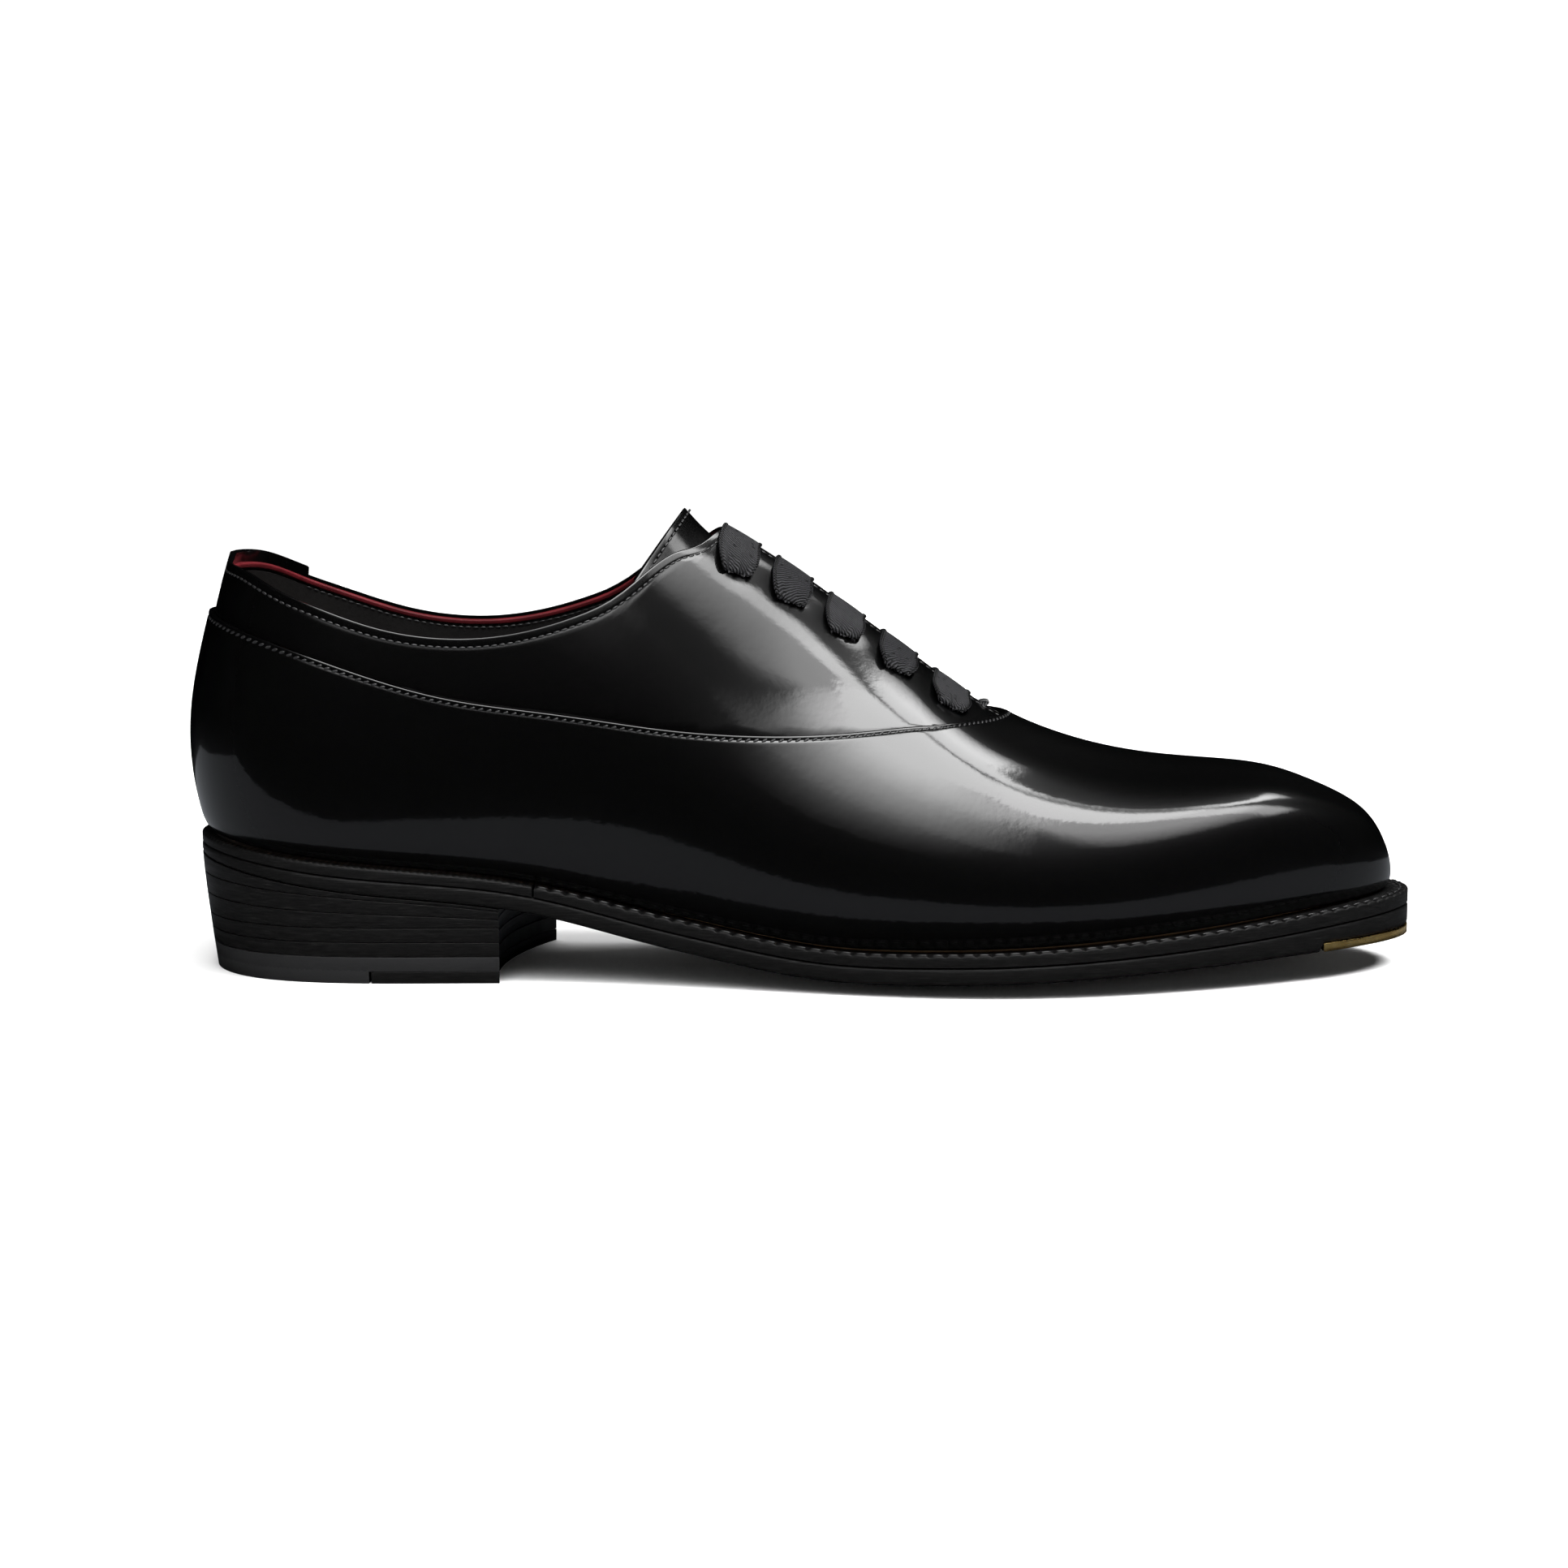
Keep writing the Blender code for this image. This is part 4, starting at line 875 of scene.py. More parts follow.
# ------------------------------------------------------------------ thread
def stitch_tree(name, thread):
    """One rounded stitch at each point, lying along "along" with its face to "out"."""
    tree = bpy.data.node_groups.new(name, "GeometryNodeTree")
    tree.interface.new_socket("Points", in_out="INPUT", socket_type="NodeSocketGeometry")
    sizes = {word: tree.interface.new_socket(word, in_out="INPUT", socket_type="NodeSocketFloat").identifier
             for word in ("Length", "Width", "Height")}
    tree.interface.new_socket("Stitches", in_out="OUTPUT", socket_type="NodeSocketGeometry")
    into, out = tree.nodes.new("NodeGroupInput"), tree.nodes.new("NodeGroupOutput")
    ball = tree.nodes.new("GeometryNodeMeshUVSphere")
    ball.inputs["Segments"].default_value = 10
    ball.inputs["Rings"].default_value = 6
    ball.inputs["Radius"].default_value = .5
    size = tree.nodes.new("ShaderNodeCombineXYZ")
    stretch = tree.nodes.new("GeometryNodeTransform")
    link = tree.links.new
    for word, axis in (("Length", "X"), ("Width", "Y"), ("Height", "Z")):
        link(into.outputs[word], size.inputs[axis])
    link(ball.outputs["Mesh"], stretch.inputs["Geometry"])
    link(size.outputs[0], stretch.inputs["Scale"])
    turned = None
    for attribute, axis in (("along", "X"), ("out", "Z")):
        read = tree.nodes.new("GeometryNodeInputNamedAttribute")
        read.data_type = "FLOAT_VECTOR"
        read.inputs["Name"].default_value = attribute
        align = tree.nodes.new("FunctionNodeAlignRotationToVector")
        align.axis = axis
        align.pivot_axis = "AUTO" if turned is None else "X"
        link(read.outputs["Attribute"], align.inputs["Vector"])
        if turned is not None:
            link(turned, align.inputs["Rotation"])
        turned = align.outputs["Rotation"]
    place = tree.nodes.new("GeometryNodeInstanceOnPoints")
    real = tree.nodes.new("GeometryNodeRealizeInstances")
    smooth = tree.nodes.new("GeometryNodeSetShadeSmooth")
    paint = tree.nodes.new("GeometryNodeSetMaterial")
    paint.inputs["Material"].default_value = thread
    link(into.outputs["Points"], place.inputs["Points"])
    link(stretch.outputs[0], place.inputs["Instance"])
    link(turned, place.inputs["Rotation"])
    link(place.outputs[0], real.inputs[0])
    link(real.outputs[0], smooth.inputs[0])
    link(smooth.outputs[0], paint.inputs[0])
    link(paint.outputs[0], out.inputs[0])
    return tree, sizes


def stitches(name, rows, length, width, height, thread, body, slot_name="thread", slant=0.0, lift=0.0):
    """Rows of (points, along, out) become one mesh of stitches, slanted by an angle in the face."""
    at, along, out = (np.vstack([row[k] for row in rows]) for k in range(3))
    aside = np.cross(out, along)
    along = along * math.cos(slant) + aside * math.sin(slant)
    mesh = bpy.data.meshes.new(name + "_points")
    mesh.from_pydata(((at + out * lift) * MM).tolist(), [], [])
    for word, values in (("along", along), ("out", out)):
        mesh.attributes.new(word, "FLOAT_VECTOR", "POINT").data.foreach_set("vector", values.ravel())
    points = bpy.data.objects.new(name + "_points", mesh)
    bpy.context.scene.collection.objects.link(points)
    tree, sizes = stitch_tree(name + "_tree", thread)
    step = points.modifiers.new("stitches", "NODES")
    step.node_group = tree
    for word, value in (("Length", length), ("Width", width), ("Height", height)):
        step[sizes[word]] = value * MM
    bpy.context.view_layer.update()
    done = bpy.data.meshes.new_from_object(points.evaluated_get(bpy.context.evaluated_depsgraph_get()))
    ob = bpy.data.objects.new(name, done)
    bpy.context.scene.collection.objects.link(ob)
    bpy.data.objects.remove(points, do_unlink=True)
    return finish_piece(ob, thread, body, slot_name)


# ------------------------------------------------------------------ lace
RIDGE_LEAN = 1.6
BAR = QUARTER + .30
RUN = LINING_IN - .9
BAR_STOPS = (  # height past the eyelet, offset, width share, thickness, gather
    (.0, QUARTER - 1.6, .26, 1.6, 1.0), (-.05, QUARTER - .6, .40, 1.3, 1.0),
    (-.11, QUARTER + .2, .58, .9, 1.0),
    (-.10, BAR + .6, .74, .7, .9), (.0, BAR + 1.05, .92, .56, .6), (.14, BAR + .9, 1.02, .46, .3),
    (.32, BAR + .5, 1.05, .42, .1), (.55, BAR + .3, 1.02, .42, .03), (.76, BAR + .25, 1.0, .42, 0))


def lace_stops(width):
    """The ribbon's route: centre, width direction, outward, then half width, half thickness and gather, and
    the bar's number."""
    stops = []

    def stop(side, x, t, d, w, thick, aim, gather, bar):
        stops.append((side, x, t, d, w / 2, thick / 2, aim == "bar", gather, bar))
    side = LATERAL
    xs = sorted(EYELET_ROWS, reverse=True)
    tails = ((2.34, RUN - .9, 2.0), (2.5, RUN - .5, 3.5), (2.8, RUN, 4.5), (EYELET_PLACE - .03, RUN, 3.0))
    for t, d, w in tails:
        stop(side, xs[0] + 1.0, t, d, w, .8, "bar", .8, -1)
    for k, x in enumerate(xs):
        for t, d, w, h, g in BAR_STOPS:
            stop(side, x + RIDGE_LEAN * t, EYELET_PLACE + t, d, w * width, h, "bar", g, k)
        stop(side, x + RIDGE_LEAN * (4 - EYELET_PLACE), 4.0, BAR + .25, width, .42, "bar", 0, k)
        for t, d, w, h, g in reversed(BAR_STOPS):
            stop(-side, x + RIDGE_LEAN * t, EYELET_PLACE + t, d, w * width, h, "bar", g, k)
        side = -side
        if k < len(xs) - 1:
            for share, w in ((0, 2.6), (.25, 5.0), (.5, 6.0), (.75, 5.0), (1, 2.6)):
                stop(side, x + (xs[k + 1] - x) * share, EYELET_PLACE, RUN, w, .7, "run", .8, -1)
    for t, d, w in reversed(tails):
        stop(side, xs[-1] - 1.0, t, d, w, .8, "bar", .8, -1)
    side, x, t, d, half, thick, barred, gather, bar = np.array(stops, float).T
    u = side * turn(x)
    p, out = skin(u, t, d)
    up = skin(u, t + .02, d)[0] - skin(u, t - .02, d)[0]
    up /= np.linalg.norm(up, axis=1, keepdims=True)
    along = np.cross(up, out) * side[:, None]
    along /= np.linalg.norm(along, axis=1, keepdims=True)
    sizes = np.array([half, thick, gather]).T
    return p, np.where(barred[:, None] > 0, along, up), out, sizes, bar.astype(int)


def smooth_path(values, per):
    """Catmull-Rom through the rows of values."""
    v = np.vstack([2 * values[:1] - values[1:2], values, 2 * values[-1:] - values[-2:-1]])
    out = []
    for i in range(1, len(v) - 2):
        for k in range(per):
            s = k / per
            a, b, c, d = v[i - 1:i + 3]
            out.append(.5 * (2 * b + (c - a) * s + (2 * a - 5 * b + 4 * c - d) * s**2
                             + (3 * b - a - 3 * c + d) * s**3))
    out.append(v[-2])
    return np.array(out)


RIBBON_ACROSS = 25


def build_lace(width, picot):
    centres, aims, outs, sizes, bars = lace_stops(width)
    wides, last = [], None
    for k in range(len(centres)):
        tangent = centres[min(k + 1, len(centres) - 1)] - centres[max(k - 1, 0)]
        tangent /= np.linalg.norm(tangent)
        wide = aims[k] - tangent * np.dot(aims[k], tangent)
        wide /= np.linalg.norm(wide)
        if last is not None and np.dot(wide, last) < 0:
            wide = -wide
        last = wide
        wides.append(wide)
    fine = smooth_path(np.hstack([centres, np.array(wides), outs, sizes]), 7)
    number = np.append(np.repeat(bars, 7), -1)[:len(fine)]
    centre, wide, out = fine[:, :3], fine[:, 3:6], fine[:, 6:9]
    half, thick, gather = fine[:, 9], fine[:, 10], np.clip(fine[:, 11], 0, 1)
    tangent = np.gradient(centre, axis=0)
    tangent /= np.linalg.norm(tangent, axis=1, keepdims=True)
    wide = wide - tangent * (wide * tangent).sum(1, keepdims=True)
    wide /= np.linalg.norm(wide, axis=1, keepdims=True)
    normal = np.cross(tangent, wide)
    normal *= np.where((normal * out).sum(1, keepdims=True) < 0, -1, 1)
    arc = np.concatenate([[0], np.cumsum(np.linalg.norm(np.diff(centre, axis=0), axis=1))])
    c = np.linspace(-1, 1, RIBBON_ACROSS)
    phase = np.random.default_rng(5).uniform(0, 2 * math.pi, 12)
    rings = []
    for k in range(len(fine)):
        ph = phase[number[k]]
        wave = gather[k] * (.34 * np.cos(2.1 * math.pi * c + ph) + .2 * np.cos(5.2 * math.pi * c + 2 * ph))
        wave = wave - .16 * (1 - gather[k]) * c**2 + .06 * np.sin(arc[k] / 2.3 + ph) * c
        edge = thick[k] * (.75 + .35 * (np.abs(c) > .93))
        line = centre[k] + wide[k] * (half[k] * c)[:, None] + normal[k] * wave[:, None]
        top = line + normal[k] * edge[:, None]
        low = line - normal[k] * edge[:, None]
        rings.append(np.vstack([top, low[::-1]]))
    rings = np.array(rings)
    ob = sweep("ribbon_lace", rings, smooth_angle=80)
    add_ribbon_uv(ob, rings, arc, c)
    edges = []
    for column, sign in ((1, -1), (RIBBON_ACROSS - 2, 1)):
        for first, last in bar_spans(number):
            edges.append((resample(rings[first:last, column], picot, normal[first:last]), sign))
    return ob, edges


def bar_spans(number):
    spans, k = [], 0
    while k < len(number):
        if number[k] < 0:
            k += 1
            continue
        first = k
        while k < len(number) and number[k] == number[first]:
            k += 1
        spans.append((first + 10, k - 10))
    return spans


def add_ribbon_uv(ob, rings, arc, c):
    """UV in millimetres along and across the ribbon; the sweep keeps its points in ring order."""
    count, around = rings.shape[:2]
    places = np.concatenate([c, c[::-1]]) * 5.0
    table = np.stack([np.repeat(arc, around), np.tile(places, count)], 1)
    keys = {tuple(q): i for i, q in enumerate(np.round(rings.reshape(-1, 3) * 2e3).astype(int).tolist())}
    co = np.empty(len(ob.data.vertices) * 3)
    ob.data.vertices.foreach_get("co", co)
    corners = np.round(co.reshape(-1, 3) * 2e6).astype(int).tolist()
    values = np.array([table[keys.get(tuple(q), 0)] for q in corners])
    layer = ob.data.uv_layers.new(name="ribbon")
    loops = np.empty(len(ob.data.loops), dtype=np.int64)
    ob.data.loops.foreach_get("vertex_index", loops)
    layer.data.foreach_set("uv", values[loops].ravel())


def tube(name, path, radius, sides=10):
    """A round thread along a path."""
    path = np.array(path)
    tangent = np.gradient(path, axis=0)
    tangent /= np.linalg.norm(tangent, axis=1, keepdims=True)
    a = np.cross(tangent[0], (0, 0, 1))
    if np.linalg.norm(a) < .1:
        a = np.cross(tangent[0], (0, 1, 0))
    rings = []
    for p, d in zip(path, tangent):
        a = a - d * np.dot(a, d)
        a /= np.linalg.norm(a)
        b = np.cross(d, a)
        rings.append([p + (a * math.cos(v) + b * math.sin(v)) * radius
                      for v in np.arange(sides) * 2 * math.pi / sides])
    return sweep(name, rings, smooth_angle=60)


TACK_X, TACK_REACH = 194.4, .20


def build_tack():
    """Bar tack at the throat: strands across the facings, bound round by a close wrap."""
    share = np.linspace(-1, 1, 7)
    u = np.where(share < 0, -1, 1) * turn(TACK_X)
    t = 4 - TACK_REACH * np.abs(share)
    height = QUARTER + np.array((-.3, .35, .5, .4, .5, .35, -.3))
    middle, up = skin(u, t, height)
    fine, ups = smooth_path(middle, 8), smooth_path(up, 8)
    parts = [tube("strand", fine + np.array((dx, 0, 0)), .3) for dx in (-.62, 0, .62)]
    turns, count = 7.5, len(fine) * 5
    s = np.linspace(.16, .84, count)
    at = np.array([np.interp(s * (len(fine) - 1), np.arange(len(fine)), fine[:, k]) for k in range(3)]).T
    lift = np.array([np.interp(s * (len(fine) - 1), np.arange(len(fine)), ups[:, k]) for k in range(3)]).T
    angle = s * turns * 2 * math.pi / .68
    wrap = at + np.array((1.0, 0, 0)) * (1.1 * np.cos(angle))[:, None] + lift * (.5 * np.sin(angle))[:, None]
    parts.append(tube("wrap", wrap, .24, 8))
    return join(parts, "throat_bar_tack")


def join(parts, name):
    """One object from several that keep their materials."""
    bm = bmesh.new()
    slots = []
    for ob in parts:
        for m in ob.data.materials:
            if m not in slots:
                slots.append(m)
        start = len(bm.faces)
        bm.from_mesh(ob.data)
        bm.faces.ensure_lookup_table()
        for f in bm.faces[start:]:
            if len(ob.data.materials):
                f.material_index = slots.index(ob.data.materials[0])
        bpy.data.objects.remove(ob, do_unlink=True)
    mesh = bpy.data.meshes.new(name)
    bm.to_mesh(mesh)
    bm.free()
    for m in slots:
        mesh.materials.append(m)
    ob = bpy.data.objects.new(name, mesh)
    bpy.context.scene.collection.objects.link(ob)
    return ob


# ------------------------------------------------------------------ bottom
PLATE_X, PLATE, TOP_PIECE, INSERT, LIFT, GAP = 274.7, 2.0, 6.5, 2.9, 3.55, .12
JOIN = 84.0
BREAST = {LATERAL: 76.0, MEDIAL: 86.0}
BREAST_HOLLOW, TAPER_BACK, TAPER_SIDE = 5.0, 3.4, 1.6


def sole_point(v):
    """Plan points on the sole edge at angles v: 0 at the heel back, pi at the toe, and round again."""
    x = SOLE_BACK + (SOLE_TIP - SOLE_BACK) * (1 - np.cos(v)) / 2
    y = np.where(np.sin(v) > 0, SOLE[MEDIAL](x), -SOLE[LATERAL](x))
    return np.stack([x, y], -1)


def sole_angle(x):
    return math.acos(1 - 2 * (x - SOLE_BACK) / (SOLE_TIP - SOLE_BACK))


def offset_outline(points, inward, closed=True):
    """Outline moved inward, square to its edges."""
    p = np.asarray(points)
    if closed:
        edge = np.roll(p, -1, axis=0) - p
    else:
        edge = np.vstack([np.diff(p, axis=0), p[-1:] - p[-2:-1]])
    edge /= np.linalg.norm(edge, axis=1, keepdims=True)
    before = np.roll(edge, 1, axis=0)
    if not closed:
        before[0] = edge[0]
    normal = np.stack([-edge[:, 1], edge[:, 0]], 1) + np.stack([-before[:, 1], before[:, 0]], 1)
    normal /= np.linalg.norm(normal, axis=1, keepdims=True)
    square = (normal * np.stack([-edge[:, 1], edge[:, 0]], 1)).sum(1, keepdims=True)
    area = (p[:, 0] * np.roll(p[:, 1], -1) - np.roll(p[:, 0], -1) * p[:, 1]).sum()
    return p + normal / np.maximum(square, .3) * inward * (1 if area > 0 else -1)


def loft(name, outline, low, high, rounding, shrink, place, centre_rows=5):
    """Closed slab between low(x, y) and high(x, y) with rounded edges."""
    rings = []
    inner = offset_outline(outline, 2.2 * rounding + .3)

    def ring(points, height, lift=0.0):
        x, y = points.T
        rings.append(place(x, y, height(x, y) + lift))
    shares = np.linspace(0, 1, centre_rows)
    for s in shares:
        ring(shrink(inner, s), low)
    for a in np.radians((90, 60, 30, 0)):
        ring(offset_outline(outline, rounding * (1 - math.cos(a))), low, rounding * (1 - math.sin(a)))
    for a in np.radians((0, 30, 60, 90)):
        ring(offset_outline(outline, rounding * (1 - math.cos(a))), high, -rounding * (1 - math.sin(a)))
    for s in shares[::-1]:
        ring(shrink(inner, s), high)
    rings = np.array(rings)
    n, k = rings.shape[:2]
    faces = [[i * k + j, i * k + (j + 1) % k, (i + 1) * k + (j + 1) % k, (i + 1) * k + j]
             for i in range(n - 1) for j in range(k)]
    ob = mesh_object(name, rings.reshape(-1, 3), faces)
    clean(ob)
    ob.data.set_sharp_from_angle(angle=math.radians(60))
    return ob


def clean(ob, distance=2e-6):
    """Welds coincident points and drops faces left without area."""
    bm = bmesh.new()
    bm.from_mesh(ob.data)
    bmesh.ops.remove_doubles(bm, verts=bm.verts[:], dist=distance)
    bmesh.ops.dissolve_degenerate(bm, edges=bm.edges[:], dist=distance)
    bmesh.ops.recalc_face_normals(bm, faces=bm.faces[:])
    bm.to_mesh(ob.data)
    bm.free()


def to_centre_line(points, s):
    return points * (1, s)


def to_centre(points, s, centre=(38.0, 0.0)):
    return centre + (points - centre) * s


def plain(x, y, z):
    return np.stack([x * KX, y * KY, z + 0 * x], -1) - ORIGIN


def sole_outline(count=420):
    return sole_point(np.linspace(0, 2 * math.pi, count + 1)[:-1])


def build_outsole(rounding):
    def low(x, y):
        return sole_low(x, y) + (PLATE + GAP) * np.clip((x - PLATE_X + .3) / .25, 0, 1)
    return loft("outsole_leather", sole_outline(), low, sole_top, rounding, to_centre_line, plain, 8)


def serrated(count=20, depth=.55):
    """The plate's rear edge, cut in small teeth, from the lateral side to the medial."""
    v = sole_angle(PLATE_X + .3)
    a, b = sole_point(-v), sole_point(v)
    s = np.arange(1, count * 2)[:, None] / (count * 2)
    teeth = np.arange(1, count * 2)[:, None] % 2 * np.array((depth, 0))
    return a + (b - a) * s + teeth


def build_plate():
    v = sole_angle(PLATE_X + .3)
    outline = np.vstack([sole_point(np.linspace(v, 2 * math.pi - v, 120)), serrated()])
    return loft("toe_plate_brass", outline, sole_low, lambda x, y: sole_low(x, y) + PLATE, .12,
                lambda p, s: to_centre(p, s, (287.0, 0.5)), plain, 6)


def build_screw(index, x, y):
    """Slotted countersunk screw, its head just under the plate's face."""
    z = float(sole_low(x, y))
    sides = 32
    parts = []
    for half in (-1, 1):
        profile = []
        start = math.asin(.18) if half > 0 else math.asin(.18) + math.pi
        angles = np.linspace(start, start + math.pi - 2 * math.asin(.18), sides // 2)
        rim = [(1.9 * math.cos(a), 1.9 * math.sin(a)) for a in angles]
        for dz, k in ((.05, .93), (.0, .86)):
            profile.append([(x * KX + px * k, y * KY + py * k, z + .25 - dz) for px, py in rim])
        base = [[(x * KX + px, y * KY + py, z + .30) for px, py in rim],
                [(x * KX + px, y * KY + py, z + .9) for px, py in rim]]
        rings = np.array([base[1], base[0], profile[0], profile[1]]) - ORIGIN
        parts.append(sweep("half", rings, smooth_angle=35))
    disc = [[(x * KX + 1.88 * math.cos(a), y * KY + 1.88 * math.sin(a), z + dz)
             for a in np.arange(sides) * 2 * math.pi / sides] for dz in (.75, PLATE - .15)]
    parts.append(sweep("seat", np.array(disc) - ORIGIN, smooth_angle=35))
    return join(parts, "toe_plate_screw_%d" % index)


def mark(place, pitch, depth, width):
    """Depth of the wheel marks at distances along the edge."""
    s = (place / pitch) % 1.0
    return depth * np.exp(-((np.minimum(s, 1 - s) * pitch) / width)**2)


def build_strip(name, v0, v1, inward, pitch, depth, step, width):
    """Welt or rand: swept along the sole edge with a bevelled rim and marks pressed into its top."""
    v = np.linspace(v0, v1, 4000)
    arc = np.concatenate([[0], np.cumsum(np.linalg.norm(np.diff(sole_point(v), axis=0), axis=1))])
    places = np.linspace(0, arc[-1], int(arc[-1] / step))
    line = sole_point(np.interp(places, arc, v))
    ahead = np.gradient(line, axis=0)
    ahead /= np.linalg.norm(ahead, axis=1, keepdims=True)
    inwards = np.stack([ahead[:, 1], -ahead[:, 0]], 1)
    if (inwards * (line - np.array((150, 0)))).sum() > 0:
        inwards = -inwards
    dent = mark(places, pitch, depth, width)

    def at(w, lift):
        x, y = (line + inwards * w).T
        return plain(x, y, lift(x, y))
    ring = [at(0, lambda x, y: sole_top(x, y) + .18), at(0, lambda x, y: (sole_top(x, y) + bed(x, y)) / 2),
            at(0, lambda x, y: bed(x, y) - .62 - dent * .3)]
    for w in (.12, .32, .55, .8, 1.1, 1.5, 2.0, 2.6, 3.1, 3.6, inward):
        fall = .45 * max(0, 1 - w / .55) + .22 * math.exp(-((w - 1.9) / .5)**2)
        pressed = dent * min(1, .4 + w) * (w < 3.3)
        ring.append(at(w, lambda x, y: bed(x, y) - fall - pressed))
    ring.append(at(inward, lambda x, y: sole_top(x, y) + .3))
    ob = sweep(name, np.stack(ring, 1), smooth_angle=38)
    return ob, at(1.9, lambda x, y: bed(x, y) - .1), places


# ------------------------------------------------------------------ heel
def heel_side(side, v):
    x = SOLE_BACK + (BREAST[side] - SOLE_BACK) * (1 - np.cos(math.pi * v / 2))
    return np.stack([x, side * SOLE[side](x)], -1)


def heel_cross(v, cells=30):
    a, b, w = heel_side(LATERAL, v), heel_side(MEDIAL, v), np.linspace(0, 1, cells + 1)[:, None]
    return a + (b - a) * w - np.array((BREAST_HOLLOW * v**4, 0)) * (1 - (2 * w - 1)**2)


def heel_outline(v0=0.0, v1=1.0, count=70):
    v = np.linspace(v0, v1, max(int(count * (v1 - v0)), 12))
    between = [heel_cross(v0)[1:-1]] if v0 > 0 else []
    medial = heel_side(MEDIAL, v if v0 > 0 else v[1:])
    return np.vstack([heel_side(LATERAL, v[::-1])] + between + [medial, heel_cross(v1)[::-1][1:-1]])


def narrowed(x, y, z):
    s = np.maximum(0, 1 - z / (HEEL_RISE + 5))**1.25
    back = np.maximum(0, 1 - x / 60.0)
    return np.stack([(x + TAPER_BACK * s * back**1.5) * KX, y * (1 - TAPER_SIDE * s / 33.0) * KY, z + 0 * x],
                    -1) - ORIGIN


def build_heel(rounding):
    level_a, level_b = TOP_PIECE + LIFT, TOP_PIECE + 2 * LIFT
    spans = (
        (lambda x, y: rise(x) + GAP, lambda x, y: sole_low(x, 0) - GAP),
        (lambda x, y: (level_b + rise(x)) / 2 + GAP, lambda x, y: rise(x)),
        (lambda x, y: level_b + GAP, lambda x, y: (level_b + rise(x)) / 2),
        (lambda x, y: level_a + GAP, lambda x, y: level_b),
        (lambda x, y: TOP_PIECE + GAP, lambda x, y: level_a),
    )
    lifts = [loft("heel_lift_stack_%d" % (k + 1), heel_outline(), low, high, rounding, to_centre, narrowed)
             for k, (low, high) in enumerate(spans)]
    v_cut = math.acos(1 - 44.0 / BREAST[LATERAL]) / (math.pi / 2)
    upper = loft("rubber_upper", heel_outline(), lambda x, y: INSERT + GAP / 2, lambda x, y: TOP_PIECE,
                 rounding, to_centre, narrowed)
    rear = loft("rubber_rear", heel_outline(0, v_cut), lambda x, y: 0.0, lambda x, y: INSERT + .6, rounding,
                lambda p, s: to_centre(p, s, (24.0, 0)), narrowed)
    front = loft("top_piece_leather", heel_outline(v_cut + .006, 1.0), lambda x, y: 0.0,
                 lambda x, y: INSERT, rounding, lambda p, s: to_centre(p, s, (62.0, 0)), narrowed)
    return lifts, join([upper, rear], "top_piece_rubber"), front


# ------------------------------------------------------------------ inside
def inside_half(gap, back_radius, tip_radius, shift):
    return {s: breadth([(x, float(FEATHER[s](x)) - gap) for x in (34, 70, 105, 145, 190, 225, 262)],
                       BACK + shift, TIP - shift, back_radius, tip_radius) for s in (LATERAL, MEDIAL)}


def floor_sheet(name, half, back, tip, x_end, low, high, inset_by=0.0):
    s = np.linspace(0, math.pi if x_end == tip else math.pi / 2, 60)
    x = (back + (x_end - back) * (1 - np.cos(s)) / (2 if x_end == tip else 1))[:, None]
    a, b = (np.maximum(half[side](x) - inset_by, 0) * side for side in (LATERAL, MEDIAL))
    y = a + (b - a) * (1 - np.cos(np.linspace(0, math.pi, 25))) / 2
    x = x + 0 * y
    return shell(name, plain(x, y, high(x, y)), plain(x, y, low(x, y)))


# ------------------------------------------------------------------ operators
SEAM_SIDE = 1
TOP_SIDE = {LATERAL: 1, MEDIAL: -1}  # which side of its edge each row of stitches lies on
INSOLE_END = 3.8


class OXFORD_OT_upper(bpy.types.Operator):
    """Galosh and quarters in patent leather with folded edges."""
    bl_idname = "oxford.upper"
    bl_label = "Patent upper"

    def execute(self, context):
        fold = context.scene.oxford_finish.fold / MM
        patent = material("patent")
        finish_piece(build_galosh(fold), patent, SHOE, "patent_leather", "galosh")
        finish_piece(build_quarter(LATERAL, fold), patent, SHOE, "patent_leather", "quarter_lateral")
        finish_piece(build_quarter(MEDIAL, fold), patent, SHOE, "patent_leather", "quarter_medial")
        return {"FINISHED"}


class OXFORD_OT_linings(bpy.types.Operator):
    """Red topline tape, black linings, insole and heel sock."""
    bl_idname = "oxford.linings"
    bl_label = "Linings"

    def execute(self, context):
        black = material("lining")
        finish_piece(build_tape(), material("red"), SHOE, "red_tape", "topline_tape")
        finish_piece(build_lining(LATERAL), black, SHOE, "black_lining", "quarter_lining_lateral")
        finish_piece(build_lining(MEDIAL), black, SHOE, "black_lining", "quarter_lining_medial")
        finish_piece(build_vamp_lining(), black, SHOE, "black_lining", "vamp_lining")
        half = inside_half(4.0, 27, 11, INSOLE_END)
        insole = floor_sheet("insole_board", half, BACK + INSOLE_END, TIP - INSOLE_END, TIP - INSOLE_END,
                             lambda x, y: bed(x, y) + .3, lambda x, y: bed(x, y) + 3.3)
        finish_piece(insole, material("tan"), SHOE, "raw_leather", "insole")
        sock = floor_sheet("heel_sock", half, BACK + INSOLE_END + 1, TIP, 96.0, lambda x, y: bed(x, y) + 3.5,
                           lambda x, y: bed(x, y) + 4.3, 1.0)
        finish_piece(sock, black, SHOE, "black_lining", "sock")
        return {"FINISHED"}


